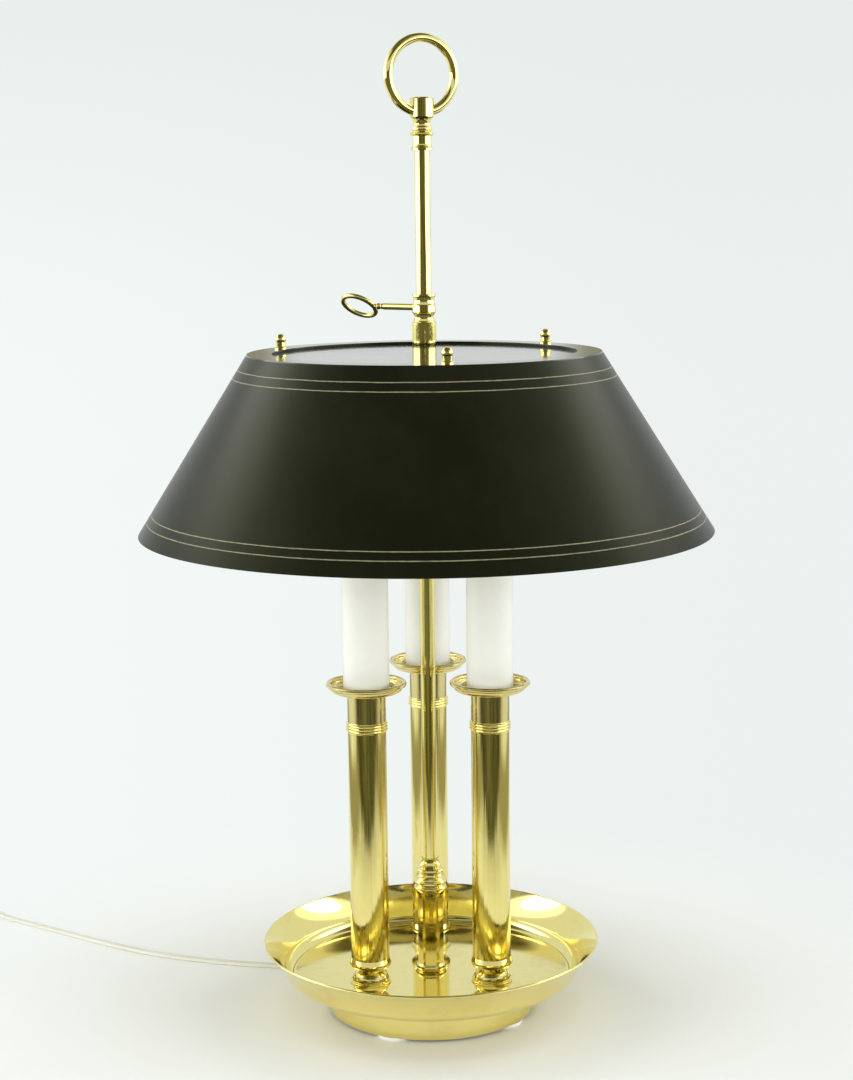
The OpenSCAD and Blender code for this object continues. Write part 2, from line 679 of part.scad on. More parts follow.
module main_rod() {
    end_z = weight_z - lock_nut_h - 0.5;
    color(BRASS) turned([[0, end_z], [rod_thread_r - 0.6, end_z], [rod_thread_r, end_z + 0.6],
                         [rod_thread_r, floor_z], [rod_r, floor_z], [rod_r, rod_top_z],
                         [tenon_d / 2, rod_top_z], [tenon_d / 2, rod_top_z + tenon_h - 0.5],
                         [tenon_d / 2 - 0.5, rod_top_z + tenon_h], [0, rod_top_z + tenon_h]]);
}

// ---- finial ----

module ring_wire(gap) {
    translate([0, 0, ring_z]) rotate([90, 0, ring_turn]) wire_ring(ring_d, ring_wire_d + 2 * gap);
}

// Flange, vase, two rings, a hollow neck and the block that the ring passes through
module finial_body() {
    r = finial_d / 2;
    block_r = block_d / 2;
    z = rod_top_z;
    bore_r = tenon_d / 2 + thread_gap;
    top_z = block_z + block_h;
    color(BRASS) difference() {
        turned(concat(
            [[bore_r, z], [r - 0.3, z], [r - 0.1, z + 0.3], [r - 0.1, z + 1.5]],
            curve([r - 0.6, z + 1.8], [r - 1.6, z + 4.8], 40, 5),
            [[r - 1.5, z + 9.6]],
            curve([r - 0.4, z + 10], [r - 0.4, z + 12.2], -100, 6),
            [[r - 1.9, z + 12.7]],
            curve([r - 1.3, z + 13], [r - 1.5, z + 16.3], -70, 6),
            curve([r - 2, z + 16.7], [block_r - 0.4, block_z], 60),
            [[block_r, block_z + 0.4], [block_r, top_z - 0.8], [block_r - 0.8, top_z], [0, top_z],
             [0, z + tenon_h + 0.2], [bore_r, z + tenon_h + 0.2]]));
        ring_wire(thread_gap);
        for (s = [-1, 1]) rotate([0, 0, ring_turn]) translate([s * (block_r + 4.4), 0, block_z])
            cube([10, 2 * block_r, 4 * block_h], center = true);
    }
}

module finial_ring() {
    color(BRASS) ring_wire(0);
}

// ---- slider and key ----

// Threaded neck, tube, hollow neck, band, waist and top lip, bored for the rod and the key
module slider_hub() {
    r = hub_tube_d / 2;
    lip_r = hub_lip_d / 2;
    neck_r = hub_neck_d / 2;
    top = hub_top_z;
    bore_r = rod_r + run_gap;
    color(BRASS) difference() {
        turned(concat(
            [[bore_r, hub_z - hub_neck_len], [neck_r - 0.5, hub_z - hub_neck_len],
             [neck_r, hub_z - hub_neck_len + 0.5], [neck_r, hub_z], [r, hub_z],
             [r, top - 19.9], [r - 0.3, top - 19.6]],
            curve([r - 0.9, top - 19.3], [lip_r - 0.8, top - 13.4], 44),
            [[lip_r - 0.2, top - 12.9], [lip_r, top - 12.5], [lip_r - 0.1, top - 7.9],
             [lip_r - 0.4, top - 7.5]],
            curve([lip_r - 0.7, top - 7.2], [lip_r - 0.8, top - 2.3], 24, 5),
            [[lip_r - 0.2, top - 1.9], [lip_r, top - 1.5], [lip_r, top - 0.4],
             [lip_r - 0.4, top], [bore_r, top]]));
        along_key() rotate([0, 90, 0]) cylinder(d = key_d + 2 * run_gap, h = 2 * r);
    }
}

module slider_nut() {
    color(STEEL) translate([0, 0, slider_nut_z])
        hex_nut(slider_nut_flats, hub_neck_d / 2 + thread_gap, slider_nut_h);
}

module bow_wire(gap) {
    along_key() translate([key_reach, 0, 0]) wire_ring(bow_d, bow_wire_d + 2 * gap);
}

// Shank that bears on the rod, then two small beads that carry the bow
module key_screw() {
    r = key_d / 2;
    s = key_end - knuckle_len;
    color(BRASS) difference() {
        along_key() rotate([0, 90, 0]) turned(concat(
            [[0, rod_r + 0.3], [r - 0.5, rod_r + 0.3], [r, rod_r + 0.8], [r, s], [r - 0.7, s + 0.3]],
            curve([r - 0.8, s + 0.7], [r - 0.8, s + 2.9], -110, 6),
            [[r - 1, s + 3.2]],
            curve([r - 0.8, s + 3.5], [r - 0.7, s + 6.3], -110, 6),
            [[r - 0.9, s + 6.7], [r - 0.5, key_end], [0, key_end]]));
        bow_wire(thread_gap);
    }
}

module key_bow() {
    color(BRASS) bow_wire(0);
}

// ---- shade ----

// Cone with a folded hem below, and a flange and short hem turned in at the top
module shade() {
    low = [shade_bottom_d / 2, shade_z];
    top = [shade_top_r, shade_z + shade_h];
    up = unit(top - low);
    fold = 2 * shade_t / up[1];
    color(DARK_PAINT) difference() {
        turned([low, top, [recess_r, top[1]], [recess_r, plate_top_z],
                [recess_r + shade_t, plate_top_z], [recess_r + shade_t, top[1] - shade_t],
                top + [-shade_t * (1 - up[0]) / up[1], -shade_t],
                low + up * hem_h + [-shade_t / up[1], 0], low + up * hem_h + [-fold, 0],
                low + [-fold, 0]]);
        at_nuts() translate([0, 0, plate_top_z]) cylinder(r = screw_hole_r, h = 10);
    }
}

module shade_disc() {
    color(DARK_PAINT) difference() {
        translate([0, 0, plate_z]) cylinder(r = plate_r, h = plate_t);
        translate([0, 0, plate_z - 1]) cylinder(r = hub_neck_d / 2 + run_gap, h = plate_t + 2);
        at_nuts() translate([0, 0, plate_z - 1]) cylinder(r = screw_hole_r, h = plate_t + 2);
    }
}

// Base, waist and ball, with a blind threaded hole from below
module ball_nuts() {
    z = shade_z + shade_h;
    r = nut_base_d / 2;
    ball = [0, z + ball_nut_h - ball_d / 2];
    screw_r = screw_d / 2 + thread_gap;
    waist_r = ball_d / 2 - 0.6;
    joint = asin(waist_r / (ball_d / 2));
    color(BRASS) at_nuts() turned(concat(
        [[screw_r, z], [r, z], [r, z + 1.2], [r - 0.4, z + 1.6], [waist_r, z + 2]],
        [for (i = [0:8]) let (a = joint - 90 + (180 - joint) * i / 8)
            [ball_d / 2 * cos(a), ball[1] + ball_d / 2 * sin(a)]],
        [[0, z + 6], [screw_r, z + 6]]));
}

module disc_screws() {
    head_r = screw_d / 2 + 1.8;
    top = shade_z + shade_h + 5;
    color(STEEL) at_nuts() turned([
        [0, plate_z - 2.6], [head_r - 1, plate_z - 2.6], [head_r, plate_z - 1.6], [head_r, plate_z],
        [screw_d / 2, plate_z], [screw_d / 2, top - 0.5], [screw_d / 2 - 0.5, top], [0, top]]);
}

// ---- cord, switch and plug ----

function cord_point(p) =
    [p[0], p[1], p[2] + cord_t / 2 + (cord_w - cord_t) / 2 * abs(sin(p[3]))];

// The flat cord swept along a route, twisted as the route says
module swept_cord(route, n = 10) {
    c = [for (p = route) cord_point(p)];
    last = len(c) - 1;
    half = (cord_w - cord_t) / 2;
    outline = [for (j = [0:n - 1]) let (a = 360 * (j + 0.5) / n)
        [cord_t / 2 * cos(a) + half * sign(cos(a)), cord_t / 2 * sin(a)]];
    rings = [for (i = [0:last]) let (
        t = unit(c[min(i + 1, last)] - c[max(i - 1, 0)]),
        side = unit(cross(t, [0, 0, 1])),
        top = cross(side, t),
        u = cos(route[i][3]) * side + sin(route[i][3]) * top,
        v = cos(route[i][3]) * top - sin(route[i][3]) * side)
        for (q = outline) c[i] + q[0] * u + q[1] * v];
    polyhedron(rings, concat(
        [[for (j = [n - 1:-1:0]) j], [for (j = [0:n - 1]) last * n + j]],
        [for (i = [0:last - 1], j = [0:n - 1]) let (k = (j + 1) % n)
            [i * n + j, i * n + k, (i + 1) * n + k, (i + 1) * n + j]]));
}

module cord_lead() {
    color(CORD_WHITE) swept_cord(LEAD);
}

module cord_run() {
    color(CORD_WHITE) swept_cord(RUN);
}

module cord_tail() {
    color(CORD_WHITE) swept_cord(TAIL);
}

coil_pitch = cord_t + 0.2;
coil_w = coil_rows * coil_pitch;
coil_h = coil_layers * cord_w;

// The coil's outer shape, with the cord on edge and one round of humps for each row
module cord_coil() {
    r0 = coil_r - coil_w / 2;
    z1 = tie_t + coil_h;
    color(CORD_WHITE) translate([coil_centre[0], coil_centre[1], 0]) turned(concat(
        [for (k = [0:coil_rows - 1])
            each curve([r0 + k * coil_pitch, tie_t + 1.4], [r0 + (k + 1) * coil_pitch, tie_t + 1.4], -140, 6)],
        [for (k = [1:1:coil_layers - 1])
            each curve([r0 + coil_w, tie_t + k * cord_w - 0.6], [r0 + coil_w, tie_t + k * cord_w + 0.6], 90, 3)],
        [for (k = [coil_rows:-1:1])
            each curve([r0 + k * coil_pitch, z1 - 1.4], [r0 + (k - 1) * coil_pitch, z1 - 1.4], -140, 6)],
        [for (k = [coil_layers - 1:-1:1])
            each curve([r0, tie_t + k * cord_w + 0.6], [r0, tie_t + k * cord_w - 0.6], 90, 3)]));
}

// Flat tie round the coil's turns, with its twisted ends on top
module cord_tie() {
    w = coil_w + 0.4;
    h = coil_h + tie_t + 0.2;
    color(CORD_WHITE) translate([coil_centre[0], coil_centre[1], 0]) rotate([0, 0, 62])
        translate([coil_r, 0, 0]) {
            difference() {
                translate([-w / 2 - tie_t, -tie_w / 2, 0]) cube([w + 2 * tie_t, tie_w, h + tie_t]);
                translate([-w / 2, -tie_w, tie_t]) cube([w, 2 * tie_w, h - tie_t]);
            }
            for (s = [-1, 1]) translate([s * 1.6, 0, h + tie_t]) rotate([0, s * 40, 0])
                translate([0, 0, -0.3]) cylinder(d = 1.6, h = 9);
        }
}

module at_switch() {
    translate([switch_place[0], switch_place[1], 0]) rotate([0, 0, switch_heading]) children();
}

// Lens-shaped case with a slot for the wheel, its pin, and a mouth for the cord at each end
module switch_case() {
    slot_h = wheel_t + 2 * face_gap;
    mid = switch_h / 2;
    color(CORD_WHITE) at_switch() union() {
        difference() {
            hull() for (s = [-1, 1], edge = [0, 2]) {
                translate([s * (switch_len / 2 - 6), 0, edge])
                    cylinder(r = 6 - 2 + edge, h = switch_h - 2 * edge, $fn = 32);
                translate([s * 7, 0, edge])
                    cylinder(r = switch_w / 2 - 2 + edge, h = switch_h - 2 * edge, $fn = 32);
            }
            translate([0, 0, mid - slot_h / 2]) cylinder(r = wheel_d / 2 + 0.5, h = slot_h);
            for (s = [-1, 1]) translate([s * (switch_len / 2 + 1), 0, mid]) rotate([0, -90 * s, 0])
                cord_slot(6.3, 0.2);
        }
        translate([0, 0, mid - slot_h / 2 - 0.5]) cylinder(r = 2, h = slot_h + 1);
    }
}

module switch_wheel() {
    color(CORD_WHITE) at_switch() translate([0, 0, (switch_h - wheel_t) / 2]) difference() {
        cylinder(d = wheel_d, h = wheel_t);
        for (i = [0:23]) rotate([0, 0, 15 * i]) translate([wheel_d / 2 + 0.3, 0, -1])
            cylinder(d = 1.8, h = wheel_t + 2, $fn = 16);
        translate([0, 0, -1]) cylinder(r = 2 + run_gap, h = wheel_t + 2);
    }
}

module at_plug() {
    translate([plug_place[0], plug_place[1], plug_h / 2]) rotate([0, 0, plug_heading]) children();
}

module blades(gap) {
    for (s = [-1, 1]) translate([plug_len - 6 - gap, s * blade_gap / 2 - 0.75 - gap, -3.2 - gap])
        cube([blade_len + 6 + gap, 1.5 + 2 * gap, 6.4 + 2 * gap]);
}

// Grip that narrows to the cord, with a finger ledge before the blades
module plug_body() {
    w = plug_w / 2 - 3;
    h = plug_h / 2 - 3;
    color(CORD_WHITE) at_plug() difference() {
        union() {
            hull() {
                for (y = [-w, w], z = [-h, h]) translate([plug_len - 14, y, z]) rotate([0, 90, 0])
                    cylinder(r = 3, h = 11, $fn = 24);
                for (y = [-2.6, 2.6]) translate([0, y, 0]) rotate([0, 90, 0])
                    cylinder(r = 3.4, h = 1, $fn = 24);
            }
            hull() for (y = [-w, w], z = [-h, h]) translate([plug_len - 3.5, y, z]) rotate([0, 90, 0])
                cylinder(r = 3, h = 3.5, $fn = 24);
        }
        translate([-1, 0, 0]) rotate([0, 90, 0]) cord_slot(6, 0.2);
        blades(thread_gap);
    }
}

module plug_blades() {
    color(BRASS) at_plug() difference() {
        blades(0);
        translate([plug_len + blade_len - 5, 0, 0]) rotate([90, 0, 0])
            cylinder(d = 3.2, h = 2 * plug_w, center = true);
    }
}

// ---- assembly ----

base_dish();
foot_ring();
base_weight();
base_cover();
rubber_feet();
cord_bushing();
lock_nuts();
main_rod();
centre_base_ring();
centre_sleeve();
centre_cap();
finial_body();
finial_ring();
slider_hub();
slider_nut();
key_screw();
key_bow();
shade();
shade_disc();
ball_nuts();
disc_screws();
cord_lead();
cord_run();
cord_coil();
cord_tail();
cord_tie();
switch_case();
switch_wheel();
plug_body();
plug_blades();
for (i = [0:2]) {
    column_foot(i);
    column_tube(i);
    bead_ring(i);
    drip_pan(i);
    candle_sleeve(i);
    stem_pipe(i);
    socket(i);
    socket_shell(i);
    bulb_base(i);
    bulb_glass(i);
}
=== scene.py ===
"""Looks of the bouillotte lamp: its camera, studio, finishes, cord and fine pieces.

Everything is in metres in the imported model's frame: +Z up, the lamp's front
towards -Y, and the origin on its axis at the plane its pads stand on. Classes
that work in millimetres say so.
"""
import logging
import math
from abc import ABC, abstractmethod
from dataclasses import dataclass
from enum import Enum
from functools import reduce
from typing import Iterable, List, Mapping, Sequence, Tuple, Union

import bpy
from mathutils import Matrix, Vector


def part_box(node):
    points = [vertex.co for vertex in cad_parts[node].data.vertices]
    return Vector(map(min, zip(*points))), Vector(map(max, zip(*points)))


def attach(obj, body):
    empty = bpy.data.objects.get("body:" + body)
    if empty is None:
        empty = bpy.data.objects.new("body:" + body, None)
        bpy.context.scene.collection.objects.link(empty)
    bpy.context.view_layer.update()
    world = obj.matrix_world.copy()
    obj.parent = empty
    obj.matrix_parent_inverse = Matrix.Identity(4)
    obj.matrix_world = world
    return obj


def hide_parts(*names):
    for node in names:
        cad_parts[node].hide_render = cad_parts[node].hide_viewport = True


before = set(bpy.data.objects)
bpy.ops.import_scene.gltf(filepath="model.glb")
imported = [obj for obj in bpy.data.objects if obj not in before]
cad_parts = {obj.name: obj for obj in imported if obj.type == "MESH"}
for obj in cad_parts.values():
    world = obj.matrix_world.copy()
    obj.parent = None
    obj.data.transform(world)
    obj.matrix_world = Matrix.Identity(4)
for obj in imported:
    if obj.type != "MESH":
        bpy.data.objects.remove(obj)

logging.basicConfig(level=logging.INFO, format="%(levelname)s %(message)s")
LOG = logging.getLogger("lamp")

MM = 0.001
COLUMN_CIRCLE = 50.5  # radius of the circle that the columns stand on, in millimetres

Colour = Tuple[float, float, float]
Point2 = Tuple[float, float]
Point3 = Tuple[float, float, float]
Marks = Tuple[float, float, float, float]
RoutePoint = Tuple[float, float, float, float]


class Side(Enum):
    """The lamp's three columns, by the heading of each in degrees."""

    LEFT = 210
    RIGHT = 330
    BACK = 90

    @property
    def label(self) -> str:
        """The side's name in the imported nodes."""
        return self.name.lower()

    def centre(self) -> Point2:
        """The x and y of the column's axis, in millimetres."""
        angle = math.radians(self.value)
        return COLUMN_CIRCLE * math.cos(angle), COLUMN_CIRCLE * math.sin(angle)


class Slot(Enum):
    """The record's material slots."""

    POLISHED_BRASS = "polished_brass"
    PLAIN_BRASS = "plain_brass"
    PLAIN_STEEL = "plain_steel"
    CAST_WEIGHT = "cast_weight"
    BASE_BOARD = "base_board"
    WHITE_PAD = "white_pad"
    CANDLE_ENAMEL = "candle_enamel"
    SOCKET_PHENOLIC = "socket_phenolic"
    BULB_CAP = "bulb_cap"
    CLEAR_GLASS = "clear_glass"
    SHADE_PAINT = "shade_paint"
    PLATE_PAINT = "plate_paint"
    CORD_JACKET = "cord_jacket"
    SWITCH_PLASTIC = "switch_plastic"
    PLUG_PLASTIC = "plug_plastic"
    TIE_PAPER = "tie_paper"


# ---- shader arithmetic ----


class Value:
    """A socket of a node tree that takes part in arithmetic."""

    def __init__(self, shader: "Shader", socket: bpy.types.NodeSocket) -> None:
        """Wrap an output socket of the builder's tree."""
        self.shader = shader
        self.socket = socket

    def _math(self, operation: str, a: "Operand", b: "Operand" = 0.0) -> "Value":
        """The result of a Math node over two operands."""
        return self.shader.node("ShaderNodeMath", {"operation": operation}, {0: a, 1: b})

    def __add__(self, other: "Operand") -> "Value":
        """This value plus another."""
        return self._math("ADD", self, other)

    def __radd__(self, other: "Operand") -> "Value":
        """Another value plus this one."""
        return self._math("ADD", other, self)

    def __sub__(self, other: "Operand") -> "Value":
        """This value less another."""
        return self._math("SUBTRACT", self, other)

    def __rsub__(self, other: "Operand") -> "Value":
        """Another value less this one."""
        return self._math("SUBTRACT", other, self)

    def __mul__(self, other: "Operand") -> "Value":
        """This value times another."""
        return self._math("MULTIPLY", self, other)

    def __rmul__(self, other: "Operand") -> "Value":
        """Another value times this one."""
        return self._math("MULTIPLY", other, self)

    def __truediv__(self, other: "Operand") -> "Value":
        """This value over another."""
        return self._math("DIVIDE", self, other)

    def __rtruediv__(self, other: "Operand") -> "Value":
        """Another value over this one."""
        return self._math("DIVIDE", other, self)

    def __pow__(self, other: "Operand") -> "Value":
        """This value to the power of another."""
        return self._math("POWER", self, other)

    def __rpow__(self, other: "Operand") -> "Value":
        """Another value to the power of this one."""
        return self._math("POWER", other, self)

    def __abs__(self) -> "Value":
        """This value without its sign."""
        return self._math("ABSOLUTE", self)

    def at_least(self, other: "Operand") -> "Value":
        """The larger of this value and another."""
        return self._math("MAXIMUM", self, other)

    def at_most(self, other: "Operand") -> "Value":
        """The smaller of this value and another."""
        return self._math("MINIMUM", self, other)

    def sine(self) -> "Value":
        """The sine of this value, in radians."""
        return self._math("SINE", self)

    def angle_to(self, x: "Operand") -> "Value":
        """The angle whose tangent is this value over x."""
        return self._math("ARCTAN2", self, x)

    def hypotenuse(self, other: "Value") -> "Value":
        """How far a point is from an axis, from its distances along two directions across it."""
        return (self * self + other * other) ** 0.5

    def split(self) -> Tuple["Value", "Value", "Value"]:
        """The x, y and z of this vector."""
        return tuple(self.shader.node("ShaderNodeSeparateXYZ", {}, {0: self}, k) for k in range(3))

    def stretched(self, x: float, y: float, z: float) -> "Value":
        """This vector with each axis times its own factor."""
        return self.shader.node("ShaderNodeVectorMath", {"operation": "MULTIPLY"}, {0: self, 1: (x, y, z)})


Operand = Union[Value, float]


class Shader:
    """Builds one node tree, by name for what shaders need most and by node() for the rest."""

    def __init__(self, owner: Union[bpy.types.Material, bpy.types.World]) -> None:
        """Start with an empty tree.

        Args:
            owner: The material or world that the tree belongs to.
        """
        owner.use_nodes = True
        self.tree = owner.node_tree
        self.tree.nodes.clear()

    def node(self, kind: str, settings: Mapping[str, object], values: Mapping[Union[int, str], object],
             output: Union[int, str] = 0) -> Value:
        """Add any node.

        Args:
            kind: The node's type.
            settings: Its properties, set before its inputs.
            values: Its inputs by name or index: a Value is linked, anything else is set.
            output: Which of its outputs is wanted.

        Returns:
            The chosen output.
        """
        node = self.tree.nodes.new(kind)
        for key, setting in settings.items():
            setattr(node, key, setting)
        for key, value in values.items():
            if isinstance(value, Value):
                self.tree.links.new(value.socket, node.inputs[key])
            else:
                node.inputs[key].default_value = value
        return Value(self, node.outputs[output])

    def position(self) -> Value:
        """The point being shaded, in the object's own metres."""
        return self.node("ShaderNodeTexCoord", {}, {}, "Object")

    def ray(self, kind: str) -> Value:
        """1 where the point is seen by one kind of ray: Camera, Glossy or Transmission."""
        return self.node("ShaderNodeLightPath", {}, {}, f"Is {kind} Ray")

    def vector(self, x: Operand, y: Operand, z: Operand = 0.0) -> Value:
        """Three numbers as one vector."""
        return self.node("ShaderNodeCombineXYZ", {}, {0: x, 1: y, 2: z})

    def noise(self, where: Value, scale: float, detail: float = 2.0, rough: float = 0.5,
              distortion: float = 0.0) -> Value:
        """Noise between about 0 and 1.

        Args:
            where: The point to sample.
            scale: Cells per metre of that point.
            detail: Octaves.
            rough: How strong the fine octaves are.
            distortion: How far the pattern is warped.

        Returns:
            The noise's factor.
        """
        return self.node("ShaderNodeTexNoise", {}, {"Vector": where, "Scale": scale, "Detail": detail,
                                                    "Roughness": rough, "Distortion": distortion})

    def cells(self, where: Value, scale: float, feature: str = "F1") -> Value:
        """Distances in a pattern of cells, measured in cells.

        Args:
            where: The point to sample.
            scale: Cells per metre.
            feature: Which distance is measured.

        Returns:
            The distance.
        """
        inputs = {"Vector": where, "Scale": scale}
        return self.node("ShaderNodeTexVoronoi", {"feature": feature}, inputs, "Distance")

    def step(self, value: Operand, low: float, high: float, out_low: float = 0.0,
             out_high: float = 1.0) -> Value:
        """A smooth step.

        Args:
            value: What is tested.
            low: Where the step starts.
            high: Where the step ends.
            out_low: The result up to low.
            out_high: The result from high on.

        Returns:
            The stepped value.
        """
        return self.node("ShaderNodeMapRange", {"interpolation_type": "SMOOTHSTEP"},
                         {0: value, 1: low, 2: high, 3: out_low, 4: out_high})

    def fall(self, value: Operand, low: float, high: float) -> Value:
        """A smooth step down: 1 up to low, and 0 from high on."""
        return self.step(value, low, high, 1.0, 0.0)

    def band(self, value: Operand, marks: Marks) -> Value:
        """1 between the middle two of four marks, and 0 before the first and after the last."""
        return self.step(value, *marks[:2]) * self.fall(value, *marks[2:])

    def specks(self, where: Value, scale: float, core: float, edge: float) -> Value:
        """Round specks, one to a cell: 1 up to core cells from its middle, and 0 from edge on."""
        return self.fall(self.cells(where, scale), core, edge)

    def mix(self, factor: Operand, a: Union[Value, Colour], b: Union[Value, Colour]) -> Value:
        """Colour a with as much of colour b as the factor says."""
        ends = [c if isinstance(c, Value) else (*c, 1.0) for c in (a, b)]
        return self.node("ShaderNodeMix", {"data_type": "RGBA"}, {0: factor, 6: ends[0], 7: ends[1]}, 2)

    def bump(self, height: Value, distance: float) -> Value:
        """The normal of a relief, where a height of 1 is as high as distance, in metres."""
        return self.node("ShaderNodeBump", {}, {"Height": height, "Distance": distance, "Strength": 1.0})

    def skin(self, **values: object) -> Value:
        """Add a Principled shader.

        Args:
            **values: Its inputs, with underscores for the spaces in their names.

        Returns:
            Its closure.
        """
        inputs = {key.replace("_", " "): (*v, 1.0) if "Color" in key and isinstance(v, tuple) else v
                  for key, v in values.items()}
        return self.node("ShaderNodeBsdfPrincipled", {}, inputs)

    def end(self, closure: Value, output: str = "ShaderNodeOutputMaterial") -> None:
        """Send a closure to the tree's output, a node of the given type."""
        self.tree.links.new(closure.socket, self.tree.nodes.new(output).inputs["Surface"])

    def surface(self, **values: object) -> None:
        """End the tree in one Principled shader with these inputs."""
        self.end(self.skin(**values))


# ---- finishes ----


@dataclass(frozen=True)
class Finish(ABC):
    """How one material looks."""

    @abstractmethod
    def paint(self, s: Shader) -> None:
        """Build the shader in an empty tree."""

    def build(self, name: str) -> bpy.types.Material:
        """Make the material.

        Args:
            name: The material's name.

        Returns:
            The material.
        """
        material = bpy.data.materials.new(name)
        self.paint(Shader(material))
        LOG.info("finish %s", name)
        return material


@dataclass(frozen=True)
class PolishedBrass(Finish):
    """Mirror-polished, lacquered brass with faint tarnish, buffing lines and hairline scratches.

    Drawn tubes and rods also have long streaks along z, and spun sheet has rings about z.
    Heights and depths are in millimetres.
    """

    colour: Colour = (0.90, 0.78, 0.29)
    tarnish: Colour = (0.78, 0.62, 0.18)
    roughness: float = 0.05
    drawn: float = 0.0  # height of the streaks
    spun: float = 0.0  # height of the rings
    buffing: float = 0.002  # height of the buffing lines
    waves: float = 0.016  # height of the slow waves
    scratch: float = 0.0012  # depth of a scratch
    nick: float = 0.01  # depth of a nick
    lacquer: float = 0.30
    ageing: Point2 = (0.48, 0.70)  # noise from which tarnish starts and is full
    streaking: Point2 = (0.50, 0.72)  # the same for tarnish in streaks
    smudging: Point2 = (0.55, 0.75)  # the same for dull smudges
    rings: float = 900.0  # noise cells per metre across the rings

    def paint(self, s: Shader) -> None:
        """Build the shader.

        Args:
            s: The empty builder.
        """
        at = s.position()
        x, y, z = at.split()
        cloud = s.noise(at, 22.0, 3.0, 0.55)
        smudge = s.noise(at, 150.0, 5.0, 0.62, 0.4)
        buffed = s.noise(at.stretched(30.0, 30.0, 2400.0), 1.0, 3.0)
        hair = s.fall(s.cells(at.stretched(1.0, 0.35, 0.6), 420.0, "DISTANCE_TO_EDGE"), 0.0, 0.02)
        old = s.step(cloud * 0.6 + smudge * 0.4, *self.ageing)
        height = buffed * self.buffing + cloud * self.waves - hair * self.scratch
        if self.drawn:
            streak = s.noise(at.stretched(520.0, 520.0, 4.0), 1.0, 3.0, 0.6)
            nicks = s.specks(at.stretched(1.0, 1.0, 0.3), 190.0, 0.035, 0.07)
            old = (old + s.step(streak, *self.streaking) * 0.8).at_most(1.0)
            height = height + streak * self.drawn - nicks * self.nick
        if self.spun:
            turned = s.vector(x.hypotenuse(y) * self.rings, z * self.rings)
            height = height + s.noise(turned, 1.0, 3.0) * self.spun
        dull = s.step(smudge, *self.smudging)
        s.surface(Base_Color=s.mix(old * 0.45, self.colour, self.tarnish), Metallic=1.0,
                  Roughness=self.roughness + old * 0.035 + dull * 0.04 + hair * 0.03,
                  Coat_Weight=self.lacquer, Coat_Roughness=0.03, Coat_IOR=1.5,
                  Normal=s.bump(height, MM))


@dataclass(frozen=True)
class DullMetal(Finish):
    """Rolled, plated or cast metal inside the lamp, with a fine grain and a few stains."""

    colour: Colour
    stain: Colour
    roughness: float
    grain: float = 0.00002

    def paint(self, s: Shader) -> None:
        """Build the shader.

        Args:
            s: The empty builder.
        """
        at = s.position()
        fine = s.noise(at, 900.0, 4.0, 0.6)
        patch = s.step(s.noise(at, 60.0, 4.0, 0.6, 0.5), 0.45, 0.7)
        s.surface(Base_Color=s.mix(patch * 0.6, self.colour, self.stain), Metallic=1.0,
                  Roughness=self.roughness + patch * 0.15 + fine * 0.08,
                  Normal=s.bump(fine, self.grain))


@dataclass(frozen=True)
class ShadePaint(Finish):
    """Dark olive paint with two pairs of hand-drawn pinstripes outside, and white enamel inside.

    The top flange is glossier than the cone, and dark on both faces.
    """

    colour: Colour = (0.0070, 0.0077, 0.0038)
    lift: Colour = (0.0102, 0.0112, 0.0056)
    stripe: Colour = (0.30, 0.275, 0.175)
    lining: Colour = (0.80, 0.79, 0.72)
    dirt: Colour = (0.35, 0.33, 0.27)
    tint: Colour = (0.94, 1.0, 0.50)
    stripes: Marks = (0.3644, 0.3698, 0.4637, 0.4696)  # heights of the pinstripes
    half_width: float = 0.00024  # of a pinstripe
    feather: float = 0.00035  # width of its soft edge
    wander: float = 0.0004  # how far it strays up and down in all
    thinning: float = 0.0003  # how much narrower it gets where the brush ran dry
    low: Point2 = (0.2032, 0.3545)  # radius and height of the cone's lower end
    high: Point2 = (0.1244, 0.4800)  # and of its upper end
    skin: Point2 = (0.0003, 0.0005)  # depths in the sheet at which paint ends and lining starts
    fold: Point2 = (0.4777, 0.4779)  # heights from which both faces are dark
    flange: Point2 = (0.4790, 0.4796)  # heights at which the cone ends and the flange starts
    gloss: Point2 = (0.27, 0.10)  # roughness of the cone and of the flange
    coat: Point2 = (0.0, 0.5)  # clear coat of the cone and of the flange
    sheen: float = 0.16  # strength of its plain reflection

    def paint(self, s: Shader) -> None:
        """Build the shader.

        Args:
            s: The empty builder.
        """
        at = s.position()
        x, y, z = at.split()
        slope = (self.low[0] - self.high[0]) / (self.high[1] - self.low[1])
        depth = (self.low[0] - (z - self.low[1]) * slope) - x.hypotenuse(y)
        outside = s.fall(depth, *self.skin).at_least(s.step(z, *self.fold))
        stray = s.noise(at, 45.0, 2.0) * self.wander - self.wander / 2
        dry = s.noise(at, 300.0, 3.0) * self.thinning
        pulses = [s.fall(abs(z - height + stray) + dry, self.half_width, self.half_width + self.feather)
                  for height in self.stripes]
        worn = s.step(s.noise(at, 120.0, 4.0, 0.65), 0.30, 0.48)
        line = reduce(Value.at_least, pulses) * outside * (worn * 0.35 + 0.62)
        cloud = s.noise(at, 14.0, 4.0, 0.6)
        peel = s.noise(at, 700.0, 2.0)
        dust = s.specks(at, 260.0, 0.03, 0.06)
        ground = s.mix(s.step(cloud, 0.35, 0.7), self.colour, self.lift)
        ground = s.mix(dust * 0.12 * outside, ground, self.dirt)
        ground = s.mix(line, ground, self.stripe)
        s.surface(Base_Color=s.mix(outside, self.lining, ground),
                  Roughness=s.step(z, *self.flange, *self.gloss) + cloud * 0.08 + dust * 0.2 + line * 0.1,
                  Specular_IOR_Level=self.sheen, Specular_Tint=(*self.tint, 1.0),
                  Coat_Weight=s.step(z, *self.flange, *self.coat), Coat_Roughness=0.12,
                  Normal=s.bump(peel + line * 1.5 + dust, 0.00003))


